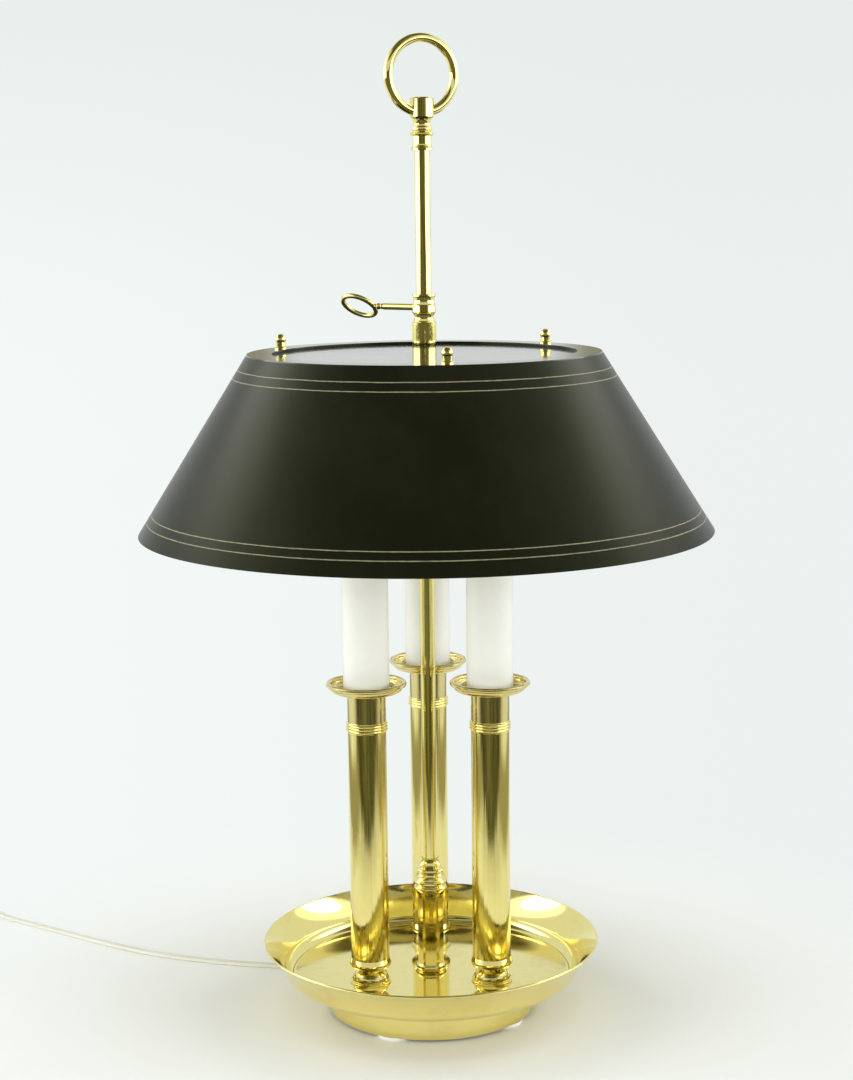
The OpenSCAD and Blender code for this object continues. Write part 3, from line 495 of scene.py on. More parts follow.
@dataclass(frozen=True)
class PlatePaint(Finish):
    """Glossy dark paint on the shade's top plate, with faint swirls and dust."""

    colour: Colour = (0.016, 0.017, 0.010)
    dirt: Colour = (0.2, 0.2, 0.17)
    swirls: float = 9000.0  # radians of a ring wave per metre

    def paint(self, s: Shader) -> None:
        """Build the shader.

        Args:
            s: The empty builder.
        """
        at = s.position()
        x, y, _ = at.split()
        cloud = s.noise(at, 30.0, 4.0, 0.6)
        dust = s.specks(at, 330.0, 0.03, 0.07)
        rings = (x.hypotenuse(y) * self.swirls + cloud * 6.0).sine()
        s.surface(Base_Color=s.mix(dust * 0.25 + s.step(cloud, 0.5, 0.8) * 0.1, self.colour, self.dirt),
                  Roughness=0.12 + cloud * 0.08 + dust * 0.25, Coat_Weight=0.6, Coat_Roughness=0.06,
                  Normal=s.bump(rings * 0.3 + cloud * 3.0, 0.000006))


@dataclass(frozen=True)
class MouldedPlastic(Finish):
    """Moulded plastic, rubber or enamel, with soft mottling and a fine orange peel."""

    colour: Colour
    mottle: Colour
    roughness: float
    coat: float = 0.15
    peel: float = 0.00001
    translucent: float = 0.0

    def paint(self, s: Shader) -> None:
        """Build the shader.

        Args:
            s: The empty builder.
        """
        at = s.position()
        cloud = s.noise(at, 35.0, 4.0, 0.6)
        skin = s.noise(at, 1400.0, 2.0)
        scuff = s.step(s.noise(at.stretched(1.0, 1.0, 0.2), 500.0, 5.0, 0.7), 0.62, 0.75)
        uneven = s.step(cloud, 0.35, 0.75) * 0.6 + scuff * 0.15
        s.surface(Base_Color=s.mix(uneven, self.colour, self.mottle),
                  Roughness=self.roughness + cloud * 0.08 + scuff * 0.12,
                  Coat_Weight=self.coat, Coat_Roughness=0.12, Subsurface_Weight=self.translucent,
                  Subsurface_Radius=(1.0, 0.9, 0.6), Subsurface_Scale=0.002,
                  Normal=s.bump(skin + cloud * 4.0, self.peel))


@dataclass(frozen=True)
class FibreBoard(Finish):
    """Pressed board or paper, with fibres and specks."""

    colour: Colour
    fleck: Colour
    roughness: float = 0.85

    def paint(self, s: Shader) -> None:
        """Build the shader.

        Args:
            s: The empty builder.
        """
        at = s.position()
        fibre = s.noise(at.stretched(1.0, 0.3, 1.0), 1500.0, 4.0, 0.65, 0.8)
        speck = s.specks(at, 900.0, 0.05, 0.16)
        s.surface(Base_Color=s.mix(fibre * 0.5 + speck * 0.4, self.colour, self.fleck),
                  Roughness=self.roughness - fibre * 0.1, Normal=s.bump(fibre + speck, 0.00006))


@dataclass(frozen=True)
class BlownGlass(Finish):
    """Clear bulb glass, with the faint waviness of blown glass."""

    colour: Colour = (0.97, 0.985, 0.98)
    thick: Colour = (0.93, 0.96, 0.96)

    def paint(self, s: Shader) -> None:
        """Build the shader.

        Args:
            s: The empty builder.
        """
        at = s.position()
        wave = s.noise(at, 90.0, 2.0)
        s.surface(Base_Color=s.mix(wave * 0.3, self.colour, self.thick), Roughness=0.02 + wave * 0.015,
                  IOR=1.5, Transmission_Weight=1.0, Normal=s.bump(wave, 0.0001))


def cluttered(s: Shader, x: Value, y: Value, rise: Value, ground: Union[Value, Colour],
              clutter: Colour) -> Value:
    """Put pale, blurred furniture into a dark room, by its heading from the lamp.

    Args:
        s: The builder.
        x: The x of the place or direction.
        y: Its y.
        rise: What else the pattern changes with.
        ground: The dark room's colour.
        clutter: The furniture's colour.

    Returns:
        The room's colour.
    """
    per_radian = 6.5
    place = s.vector(y.angle_to(x) * per_radian, rise)
    return s.mix(s.step(s.noise(place, 1.0, 3.0), 0.40, 0.66), ground, clutter)


@dataclass(frozen=True)
class Backdrop(Finish):
    """White seamless paper, evenly lit away from the lamp.

    Near the lamp it is real paper, which takes the lamp's shadow and glow. Surfaces of the
    lamp see more than the camera does: an apron of paper in front dimmed by painted shade, a
    dark room past the table's front edge, and strips beside the table. Away from the lamp,
    painted uneven light makes the paper lighter on the left than on the right and darker
    upwards, in fans that spread from a point in front of the lamp.
    """

    paper: Colour = (0.90, 0.915, 0.895)
    # painted uneven light: the paper's tones on the left, on the right and upwards, where light falls
    # unevenly on it
    left: Colour = (0.905, 0.957, 0.94)
    right: Colour = (0.845, 0.885, 0.872)
    high: Colour = (0.795, 0.84, 0.815)
    room: Colour = (0.050, 0.044, 0.019)
    far_room: Colour = (0.110, 0.112, 0.055)
    clutter: Colour = (0.200, 0.205, 0.115)
    # painted shade: the colour of the paper in front, dimmed as the lamp's reflections see it
    apron: Colour = (0.44, 0.43, 0.35)
    aside: Colour = (0.36, 0.34, 0.23)
    real_within: Point2 = (0.20, 0.50)  # radii at which real paper ends and even light starts
    table_edge: Point2 = (-0.50, -0.41)  # y at which the dark room ends and the paper starts
    room_depth: Point2 = (-1.3, -0.6)  # y at which the room has its far colour and its near one
    apron_from: Point2 = (-0.42, -0.12)  # y between which the apron fades out
    apron_share: float = 0.6  # how strong it is
    strips: Marks = (0.38, 0.52, 0.70, 0.84)  # distances from the middle across the strips
    fan_place: Point2 = (-1.5, 0.587)  # y and height that both fans spread from
    fan_least: float = 1.4  # least distance from there that counts
    fan_across: Point2 = (-0.24, 0.17)  # tangents at which the left tone ends and the right one starts
    fan_upward: Point2 = (-0.112, 0.157)  # tangents at which the high tone starts and is full

    def paint(self, s: Shader) -> None:
        """Build the shader.

        Args:
            s: The empty builder.
        """
        at = s.position()
        x, y, z = at.split()
        camera, glossy, clear = (s.ray(kind) for kind in ("Camera", "Glossy", "Transmission"))
        unseen = 1.0 - (camera + clear).at_most(1.0)
        beyond = s.fall(y, *self.table_edge) * unseen
        beside = s.band(abs(x), self.strips) * unseen
        room = s.mix(s.fall(y, *self.room_depth), self.room, self.far_room)
        room = cluttered(s, x, y, y * 0.5, room, self.clutter)
        fibre = s.noise(at, 240.0, 4.0)
        cloud = s.noise(at, 0.9, 2.0)
        sheet = s.mix(fibre * 0.25, self.paper, tuple(0.985 * c for c in self.paper))
        real = s.skin(Base_Color=s.mix(beyond, sheet, room), Roughness=0.75 + fibre * 0.1,
                      Specular_IOR_Level=0.1, Normal=s.bump(fibre, 0.00003))
        # painted uneven light: the fans make the paper lighter on the left and darker upwards
        depth = (y - self.fan_place[0]).at_least(self.fan_least)
        lit = s.mix(s.step(x / depth, *self.fan_across), self.left, self.right)
        upward = s.step((z - self.fan_place[1]) / depth, *self.fan_upward)
        lit = s.mix(upward * 0.9 + cloud * 0.1, lit, self.high)
        # painted shade: the apron dims the paper in front for all rays but camera and glass rays
        lit = s.mix(s.step(y, *self.apron_from, self.apron_share, 0.0) * unseen, lit, self.apron)
        lit = s.mix(beyond, s.mix(beside, lit, self.aside), room)
        glow = s.node("ShaderNodeEmission", {}, {"Color": lit, "Strength": 1.0})
        away = s.step(x.hypotenuse(y), *self.real_within)
        seen = (camera + glossy + clear).at_most(1.0)
        s.end(s.node("ShaderNodeMixShader", {}, {0: away * seen, 1: real, 2: glow}))


# ---- studio ----


@dataclass(frozen=True)
class StudioCamera:
    """The camera that took the photograph, fitted to the lamp's rims and columns."""

    place: Point3 = (0.0, -1.5004, 0.5868)
    pitch: float = math.radians(9.11)
    roll: float = -0.0112
    lens: float = 90.19
    sensor: float = 36.0
    clip: Point2 = (0.05, 30.0)

    def build(self) -> None:
        """Make the camera and make it the scene's."""
        data = bpy.data.cameras.new("studio_camera")
        data.lens = self.lens
        data.sensor_fit = "HORIZONTAL"
        data.sensor_width = self.sensor
        data.clip_start, data.clip_end = self.clip
        right, ahead = Vector((1.0, 0.0, 0.0)), Vector((0.0, math.cos(self.pitch), -math.sin(self.pitch)))
        up = right.cross(ahead)
        c, n = math.cos(self.roll), math.sin(self.roll)
        turn = Matrix((c * right + n * up, c * up - n * right, -ahead)).transposed().to_4x4()
        camera = bpy.data.objects.new("studio_camera", data)
        bpy.context.scene.collection.objects.link(camera)
        camera.matrix_world = Matrix.Translation(self.place) @ turn
        bpy.context.scene.camera = camera


@dataclass(frozen=True)
class SoftBox:
    """A soft light that the camera doesn't see. Polished surfaces show it too, unless it is a fill."""

    name: str
    place: Point3
    aim: Point3
    size: Point2
    radiance: float
    fill: bool = False
    oval: bool = False

    def build(self) -> None:
        """Make the light."""
        data = bpy.data.lights.new(self.name, "AREA")
        data.shape = "ELLIPSE" if self.oval else "RECTANGLE"
        data.size, data.size_y = self.size
        area = self.size[0] * self.size[1] * (math.pi / 4 if self.oval else 1.0)
        data.energy = self.radiance * math.pi * area
        light = bpy.data.objects.new(self.name, data)
        bpy.context.scene.collection.objects.link(light)
        light.visible_glossy = not self.fill
        light.visible_camera = False
        light.location = self.place
        light.rotation_euler = (Vector(self.aim) - Vector(self.place)).to_track_quat("-Z", "Y").to_euler()
        LOG.info("light %s", self.name)


@dataclass(frozen=True)
class Surroundings:
    """What is seen past the sweep, which the world gives by its direction.

    There are pale walls with a bright band low along the sides, and a dark warm room in front
    of the lamp, with a window in it, overhead, and in a strip on both sides of the back. The
    camera, and what it sees through glass, gets one pale tone. Marks on z are heights of a
    direction of length 1, and the others are its y once it is made level.
    """

    walls: Colour = (0.82, 0.85, 0.84)
    room: Colour = (0.060, 0.053, 0.024)
    clutter: Colour = (0.200, 0.195, 0.105)
    bright: Colour = (3.1, 3.1, 3.1)
    pale: Colour = (0.85, 0.89, 0.877)
    front: Point2 = (-0.86, -0.46)
    lean: float = 0.12  # how far the room in front is turned to the left
    window_z: Marks = (0.12, 0.18, 0.42, 0.54)
    window_share: float = 0.85  # how much of the dark it takes away
    overhead_z: Point2 = (0.70, 0.84)
    strip: Marks = (0.42, 0.6, 0.88, 0.95)
    strip_z: Point2 = (0.06, 0.14)
    strip_share: float = 0.4  # how dark it is
    band: Marks = (-0.80, -0.60, 0.6, 0.9)
    band_z: Marks = (-0.16, -0.06, 0.10, 0.26)

    def build(self) -> None:
        """Make the world and its shader."""
        world = bpy.data.worlds.new("room")
        bpy.context.scene.world = world
        s = Shader(world)
        x, y, z = s.node("ShaderNodeTexCoord", {}, {}, "Generated").split()
        level = (x * x + y * y).at_least(0.0001) ** 0.5
        back = y / level
        ahead = s.fall(back + x / level * self.lean, *self.front)
        aside = s.band(back, self.strip) * s.fall(z, *self.strip_z)
        unlit = ahead * (1.0 - s.band(z, self.window_z) * self.window_share)
        dark = unlit.at_least(s.step(z, *self.overhead_z)).at_least(aside * self.strip_share)
        room = cluttered(s, x, y, z * 2.0, self.room, self.clutter)
        colour = s.mix(dark, self.walls, room)
        colour = s.mix(s.band(back, self.band) * s.band(z, self.band_z), colour, self.bright)
        seen = (s.ray("Camera") + s.ray("Transmission")).at_most(1.0)
        colour = s.mix(seen, colour, self.pale)
        s.end(s.node("ShaderNodeBackground", {}, {"Color": colour, "Strength": 1.0}), "ShaderNodeOutputWorld")


@dataclass(frozen=True)
class Studio:
    """A white sweep, soft boxes on both sides, fills, and the surroundings."""

    half_width: float = 9.0
    front: float = -9.0
    bend: float = 4.2
    radius: float = 0.9
    top: float = 6.8
    steps: int = 24
    boxes: Tuple[SoftBox, ...] = (
        SoftBox("left_high", (-1.25, 0.25, 1.2), (0.0, 0.15, 1.2), (1.6, 0.9), 0.7, oval=True),
        SoftBox("left_hot", (-0.94, 0.36, 0.985), (0.0, 0.0, 0.05), (0.82, 0.34), 2.4, oval=True),
        SoftBox("right_high", (1.25, 0.30, 1.2), (0.0, 0.2, 1.2), (1.6, 0.9), 0.5, oval=True),
        SoftBox("right_hot", (0.94, 0.36, 0.985), (0.0, 0.0, 0.05), (0.82, 0.34), 2.4, oval=True),
        SoftBox("fill_left", (-1.5, -0.9, 0.5), (0.0, 0.0, 0.3), (1.1, 0.9), 2.75, fill=True),
        SoftBox("fill_right", (1.5, -0.9, 0.5), (0.0, 0.0, 0.3), (1.1, 0.9), 2.65, fill=True),
        SoftBox("fill_front", (-0.3, -2.0, 0.9), (0.0, 0.0, 0.3), (1.6, 1.2), 1.85, fill=True),
        SoftBox("fill_top", (0.0, -0.2, 2.2), (0.0, 0.0, 0.3), (1.6, 1.6), 2.05, fill=True),
    )

    def sweep(self) -> None:
        """Make the floor and backdrop as one curved sheet."""
        bends = [math.pi / 2 * k / self.steps for k in range(1, self.steps + 1)]
        side = [(self.front, 0.0), (self.bend, 0.0)]
        side += [(self.bend + self.radius * math.sin(a), self.radius * (1.0 - math.cos(a))) for a in bends]
        side.append((self.bend + self.radius, self.top))
        points = [(x, y, z) for x in (self.half_width, -self.half_width) for y, z in side]
        n = len(side)
        faces = [(i, i + 1, n + i + 1, n + i) for i in range(n - 1)]
        mesh = bpy.data.meshes.new("sweep")
        mesh.from_pydata(points, [], faces)
        mesh.polygons.foreach_set("use_smooth", [True] * len(mesh.polygons))
        sheet = bpy.data.objects.new("sweep", mesh)
        bpy.context.scene.collection.objects.link(sheet)
        mesh.materials.append(Backdrop().build("backdrop_paper"))

    def build(self) -> None:
        """Make the whole studio."""
        bpy.context.scene.view_settings.view_transform = "Standard"
        self.sweep()
        Surroundings().build()
        for box in self.boxes:
            box.build()


# ---- cord ----


@dataclass(frozen=True)
class FlatTwin:
    """The section of a flat twin cord, in millimetres: two round cores and the web between them."""

    width: float = 5.8
    height: float = 2.9
    web: float = 0.72  # thickness of the web as a share of the height
    around: int = 28  # points round the outline

    def outline(self) -> List[Point2]:
        """The cord's outline.

        Returns:
            Points round the section, with the width along the first number.
        """
        half, r = (self.width - self.height) / 2, self.height / 2
        points = []
        for k in range(self.around):
            a = 2 * math.pi * (k + 0.5) / self.around
            x, y = self.width / 2 * math.cos(a), r * math.sin(a)
            reach = abs(x)
            if reach >= half:
                y = math.copysign(math.sqrt(max(0.0, r * r - (reach - half) ** 2)), y)
            else:
                dip = 0.5 * (1 + math.cos(math.pi * reach / half))
                y = math.copysign(r * (1 - (1 - self.web) * dip), y)
            points.append((x, y))
        return points

    def centre(self, p: RoutePoint) -> Vector:
        """The cord's middle over a route point, which is x, y, lift, and twist in degrees."""
        rise = self.height / 2 + (self.width - self.height) / 2 * abs(math.sin(math.radians(p[3])))
        return Vector((p[0], p[1], p[2] + rise))


@dataclass(frozen=True)
class Winding:
    """The coil: rows side by side and layers on each other, wound as one cord, in millimetres."""

    centre: Point2 = (-430.0, 128.0)
    rows: Point3 = (35.1, 32.0, 28.9)  # radii of the outer, middle and inner row
    low: float = 0.6  # lift of the lower layer
    layer: float = 5.8  # from there up to the next layer
    outside: float = 38.4  # radius at which the cord comes in and leaves

    def radius(self, degrees: float) -> float:
        """The winding's radius after a turn from where it is joined.

        Args:
            degrees: Turn from 180 degrees on.

        Returns:
            The radius.
        """
        outer, middle, inner = self.rows
        marks = ((180, self.outside), (240, outer), (510, outer), (570, middle), (870, middle), (930, inner),
                 (1590, inner), (1650, middle), (1950, middle), (2010, outer), (2385, outer),
                 (2412, self.outside - 0.1))
        return self.between(degrees, marks)

    def lift(self, degrees: float) -> float:
        """The winding's lift after a turn.

        Args:
            degrees: Turn from 180 degrees on.

        Returns:
            The height of the cord's underside.
        """
        high = self.low + self.layer
        marks = ((180, 0.0), (240, self.low), (1230, self.low), (1290, high), (2408, high), (2445, 0.0))
        return self.between(degrees, marks)

    @staticmethod
    def between(at: float, marks: Sequence[Tuple[float, float]]) -> float:
        """Ease from mark to mark.

        Args:
            at: Where.
            marks: Places and their values.

        Returns:
            The value there.
        """
        if at <= marks[0][0]:
            return marks[0][1]
        for (a, u), (b, v) in zip(marks, marks[1:]):
            if at <= b:
                t = (at - a) / (b - a)
                return u + (v - u) * t * t * (3 - 2 * t)
        return marks[-1][1]

    def route(self, start: float = 196.5, end: float = 2437.0, step: float = 7.5) -> List[RoutePoint]:
        """The winding's points.

        Args:
            start: First angle, in degrees.
            end: Last angle.
            step: Angle between points.

        Returns:
            The route, with the cord on edge.
        """
        count = int(round((end - start) / step))
        points = []
        for k in range(count + 1):
            degrees = start + (end - start) * k / count
            a, r = math.radians(degrees), self.radius(degrees)
            x, y = self.centre[0] + r * math.cos(a), self.centre[1] + r * math.sin(a)
            points.append((x, y, self.lift(degrees), 90.0))
        return points


@dataclass(frozen=True)
class MainsCord:
    """The lead to the switch, and the run, coil and tail beyond it, in millimetres."""

    section: FlatTwin = FlatTwin()
    winding: Winding = Winding()
    parts: int = 4  # steps from each point of a route to the next
    lead: Tuple[RoutePoint, ...] = (
        (-52.1, 43.7, 8.55, 0), (-63, 52.9, 8.55, 0), (-74.4, 62.4, 8.55, 0), (-83, 69.2, 7.2, 0),
        (-91.4, 73.8, 4.2, 0), (-100, 76.8, 1.5, 0), (-109, 78.6, 0.2, 0), (-121, 79.8, 0, 0),
        (-138, 82.8, 0, 0), (-155, 87, 0, 0), (-175, 92.6, 0, 0), (-195, 99.6, 0, 0), (-215, 108, 0, 0),
        (-234, 118, 0, 0), (-250, 128, 0, 0), (-267, 139.4, 0, 0), (-284, 151.4, 0, 0), (-303, 165, 0, 0),
        (-321, 177.8, 0, 0), (-338, 189.4, 0.1, 0), (-349, 196.6, 0.8, 0), (-359.5, 203.4, 2.8, 0),
        (-369.5, 210, 5.6, 0), (-379.6, 216.7, 7.05, 0), (-385.2, 220.3, 7.05, 0))
    run: Tuple[RoutePoint, ...] = (
        (-431, 248.8, 7.05, 0), (-436.5, 252.3, 7.05, 0), (-445, 257.4, 5.4, 0), (-454.5, 261.2, 2.2, 4),
        (-465.4, 261.8, 0.3, 14), (-475.4, 257.4, 0, 28), (-482, 248, 0, 42), (-484.6, 236, 0, 54),
        (-484.2, 222, 0, 64), (-481.6, 208, 0, 73), (-478, 194, 0, 80), (-474.4, 180, 0, 85),
        (-471.2, 166, 0, 88), (-469, 152, 0, 90), (-468.4, 140, 0, 90), (-468.4, 128, 0, 90))
    tail: Tuple[RoutePoint, ...] = (
        (-413, 93.6, 0, 88), (-402.7, 95.9, 0, 74), (-391.5, 93, 0.8, 50), (-383, 85, 3, 24),
        (-379.4, 74.6, 5.4, 6), (-379, 68, 6.05, 0), (-379, 60, 6.05, 0))

    def eased(self, route: Sequence[RoutePoint]) -> List[RoutePoint]:
        """Put points between a route's points, on one smooth curve through them.

        Args:
            route: The route.

        Returns:
            The finer route.
        """
        fine: List[RoutePoint] = []
        last = len(route) - 1
        for i in range(last):
            p = [Vector(route[max(0, min(last, i + k))]) for k in (-1, 0, 1, 2)]
            for k in range(self.parts):
                t = k / self.parts
                q = 0.5 * ((2 * p[1]) + (p[2] - p[0]) * t + (2 * p[0] - 5 * p[1] + 4 * p[2] - p[3]) * t * t
                           + (3 * p[1] - p[0] - 3 * p[2] + p[3]) * t ** 3)
                fine.append((q[0], q[1], max(0.0, q[2]), q[3]))
        fine.append(tuple(route[-1]))
        return fine

    def sweep(self, name: str, route: Sequence[RoutePoint]) -> Tuple[bpy.types.Object, List[Point3], float]:
        """Sweep the section along a route.

        Args:
            name: The piece's name.
            route: The route.

        Returns:
            The piece, the points of its middle in metres, and its length in metres.
        """
        centres = [self.section.centre(p) for p in route]
        outline = self.section.outline()
        n, last = len(outline), len(centres) - 1
        points, faces = [], []
        for i, c in enumerate(centres):
            ahead = (centres[min(i + 1, last)] - centres[max(i - 1, 0)]).normalized()
            side = ahead.cross(Vector((0.0, 0.0, 1.0))).normalized()
            top = side.cross(ahead)
            twist = math.radians(route[i][3])
            u = math.cos(twist) * side + math.sin(twist) * top
            v = math.cos(twist) * top - math.sin(twist) * side
            points += [(c + a * u + b * v) * MM for a, b in outline]
        for here in range(0, last * n, n):
            there = here + n
            faces += [(here + j, there + j, there + (j + 1) % n, here + (j + 1) % n) for j in range(n)]
        faces += [tuple(range(n)), tuple(last * n + j for j in range(n - 1, -1, -1))]
        cord = Bench.piece(name, points, faces)
        length = sum((b - a).length for a, b in zip(centres, centres[1:])) * MM
        return cord, [tuple(c * MM) for c in centres], length

    def build(self) -> List[bpy.types.Object]:
        """Returns:
            The two cords.
        """
        lead, path, length = self.sweep("cord_to_switch", self.eased(self.lead))
        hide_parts("cord_lead")
        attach(lead, "base")
        LOG.info("cord to the switch: %.3f m", length)
        route = self.eased(self.run)[:-1] + self.winding.route() + self.eased(self.tail)
        rest, path, length = self.sweep("cord_to_plug", route)
        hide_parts("cord_run", "cord_coil", "cord_tail")
        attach(rest, "base")
        LOG.info("cord to the plug: %.3f m", length)
        return [lead, rest]


# ---- making pieces ----


class Bench:
    """Ways of making a mesh piece with the tools that a modeller uses by hand."""

    @staticmethod
    def piece(name: str, points: Iterable[Sequence[float]], faces: Iterable[Sequence[int]],
              edges: Iterable[Tuple[int, int]] = (), crease: float = 40.0) -> bpy.types.Object:
        """Make an object from points and faces, and select it alone.

        Args:
            name: The piece's name.
            points: Its points, in metres.
            faces: Its faces.
            edges: Its loose edges.
            crease: Angle beyond which an edge stays sharp, in degrees.

        Returns:
            The piece.
        """
        mesh = bpy.data.meshes.new(name)
        mesh.from_pydata([tuple(p) for p in points], list(edges), list(faces))
        mesh.update()
        made = bpy.data.objects.new(name, mesh)
        bpy.context.scene.collection.objects.link(made)
        Bench.only(made)
        if mesh.polygons:
            bpy.ops.object.shade_smooth_by_angle(angle=math.radians(crease))
        LOG.info("piece %s", name)
        return made

    @staticmethod
    def only(piece: bpy.types.Object) -> None:
        """Select one object and make it active.

        Args:
            piece: The object.
        """
        bpy.ops.object.select_all(action="DESELECT")
        piece.select_set(True)
        bpy.context.view_layer.objects.active = piece

    @staticmethod
    def close(doubles: float, crease: float) -> None:
        """Merge the active piece's doubles, turn its faces outwards and shade it smooth.

        Args:
            doubles: How close points are one, in metres.
            crease: Angle beyond which an edge stays sharp, in degrees.
        """
        bpy.ops.object.mode_set(mode="EDIT")
        bpy.ops.mesh.select_all(action="SELECT")
        bpy.ops.mesh.remove_doubles(threshold=doubles)
        bpy.ops.mesh.normals_make_consistent(inside=False)
        bpy.ops.object.mode_set(mode="OBJECT")
        bpy.ops.object.shade_smooth_by_angle(angle=math.radians(crease))

    @staticmethod
    def turned(name: str, profile: Sequence[Point2], steps: int, centre: Point2 = (0.0, 0.0),
               closed: bool = True, crease: float = 32.0) -> bpy.types.Object:
        """Spin a profile about an upright axis.

        Args:
            name: The piece's name.
            profile: Radius and height of each point, in millimetres.
            steps: Faces round the axis.
            centre: x and y of the axis, in millimetres.
            closed: Whether the profile's last point joins its first.
            crease: Angle beyond which an edge stays sharp, in degrees.

        Returns:
            The piece.
        """
        last = len(profile) - 1
        edges = [(i, i + 1) for i in range(last)] + ([(last, 0)] if closed else [])
        points = [((centre[0] + r) * MM, centre[1] * MM, z * MM) for r, z in profile]
        made = Bench.piece(name, points, [], edges)
        bpy.ops.object.mode_set(mode="EDIT")
        bpy.ops.mesh.select_all(action="SELECT")
        bpy.ops.mesh.spin(steps=steps, angle=2 * math.pi, center=(centre[0] * MM, centre[1] * MM, 0.0),
                          axis=(0.0, 0.0, 1.0))
        Bench.close(0.005 * MM, crease)
        return made

    @staticmethod
    def wires(name: str, paths: Sequence[Sequence[Point3]], radii: Sequence[float],
              crease: float = 50.0) -> bpy.types.Object:
        """Make round wires along paths, as one piece.

        Args:
            name: The piece's name.
            paths: Points of each wire, in millimetres.
            radii: Radius of each wire, in millimetres.
            crease: Angle beyond which an edge stays sharp, in degrees.

        Returns:
            The piece.
        """
        curve = bpy.data.curves.new(name, "CURVE")
        curve.dimensions, curve.use_fill_caps = "3D", True
        curve.bevel_depth, curve.bevel_resolution = MM, 2
        for path, radius in zip(paths, radii):
            spline = curve.splines.new("POLY")
            spline.points.add(len(path) - 1)
            for point, place in zip(spline.points, path):
                point.co, point.radius = (*(c * MM for c in place), 1.0), radius
        made = bpy.data.objects.new(name, curve)
        bpy.context.scene.collection.objects.link(made)
        Bench.only(made)
        bpy.ops.object.convert(target="MESH")
        made = bpy.context.view_layer.objects.active
        Bench.close(0.001 * MM, crease)
        LOG.info("piece %s", name)
        return made

    @staticmethod
    def copied(piece: bpy.types.Object, name: str, shift: Point3) -> bpy.types.Object:
        """Copy a piece, with its own mesh, to another place.

        Args:
            piece: The piece.
            name: The copy's name.
            shift: How far it is moved, in millimetres.

        Returns:
            The copy.
        """
        Bench.only(piece)
        bpy.ops.object.duplicate()
        made = bpy.context.view_layer.objects.active
        made.name = made.data.name = name
        bpy.ops.transform.translate(value=tuple(c * MM for c in shift))
        bpy.ops.object.transform_apply(location=True, rotation=False, scale=False)
        LOG.info("piece %s", name)
        return made


@dataclass(frozen=True)
class BulbMount:
    """What each bulb's glass holds: a flared glass stem, two wires and a coiled filament, in millimetres."""

    clearance: float = 0.6  # from the glass's lowest point up to the stem's foot
    foot: float = 9.4  # radius of the stem's foot
    neck: float = 2.3  # radius of its tube
    pinch: float = 22.0  # height of its top
    gap: Point2 = (0.8, 1.0)  # half the wires' distance in the stem and where they leave it
    seat: float = 4.0  # how deep the wires stand in the stem
    straight: float = 2.0  # how far each wire runs on before and after its slope
    rise: float = 37.0  # height of the wires' tops
    span: float = 4.6  # half the filament's length
    sag: float = 2.2  # how far its middle hangs down
    hook: float = 0.4  # how far its ends are below the wires' tops
    wire: float = 0.35  # radius of the wires
    thread: float = 0.15  # radius of the filament's own wire
    coil: float = 0.45  # radius of its turns
    turns: int = 16
    points: int = 12  # in each turn
    around: int = 48  # faces round the stem

    def stem(self, z: float) -> List[Point2]:
        """The stem's section, as radius and height of each point, from the height of its foot."""
        foot, neck, top = self.foot, self.neck, z + self.pinch
        return [(0.0, z), (foot, z), (foot, z + 0.7), (foot - 2.6, z + 2.4), (neck + 1.4, z + 6.6),
                (neck + 0.2, z + 9.2), (neck, top), (neck - 0.8, top + 1.2), (0.0, top + 1.6)]

    def lines(self, x: float, y: float, z: float) -> List[List[Point3]]:
        """The middles of the two wires and the filament.

        Args:
            x: The x of the bulb's axis.
            y: The y of the bulb's axis.
            z: Height of the stem's foot.

        Returns:
            Three paths.
        """
        pinch, top = z + self.pinch, z + self.rise
        inside, out = self.gap
        sides = [[(x + k * inside, y, pinch - self.seat), (x + k * out, y, pinch + self.straight),
                  (x + k * self.span, y, top - self.straight), (x + k * self.span, y, top)] for k in (-1, 1)]
        count = self.turns * self.points
        filament = []
        for i in range(count + 1):
            u, a = 2.0 * i / count - 1.0, 2 * math.pi * self.turns * i / count
            filament.append((x + u * self.span, y + self.coil * math.sin(a),
                             top - self.hook - self.sag * (1 - u * u) + self.coil * math.cos(a)))
        return sides + [filament]

    def build(self, dresser: "Dresser") -> None:
        """Make one bulb's stem and wires, copy them to the other bulbs and dress them.

        Args:
            dresser: Who gives them their finish.
        """
        low = {side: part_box(f"bulb_glass_{side.label}")[0][2] / MM + self.clearance for side in Side}
        x, y = Side.LEFT.centre()
        z = low[Side.LEFT]
        stem = Bench.turned("bulb_stem_left", self.stem(z), self.around, (x, y), closed=False)
        wires = Bench.wires("bulb_wires_left", self.lines(x, y, z), (self.wire, self.wire, self.thread))
        pieces = [(stem, Slot.CLEAR_GLASS), (wires, Slot.PLAIN_STEEL)]
        for side in (Side.RIGHT, Side.BACK):
            a, b = side.centre()
            shift = (a - x, b - y, low[side] - z)
            pieces += [(Bench.copied(stem, f"bulb_stem_{side.label}", shift), Slot.CLEAR_GLASS),
                       (Bench.copied(wires, f"bulb_wires_{side.label}", shift), Slot.PLAIN_STEEL)]
        for piece, slot in pieces:
            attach(piece, "base")
            dresser.dress(piece, slot)


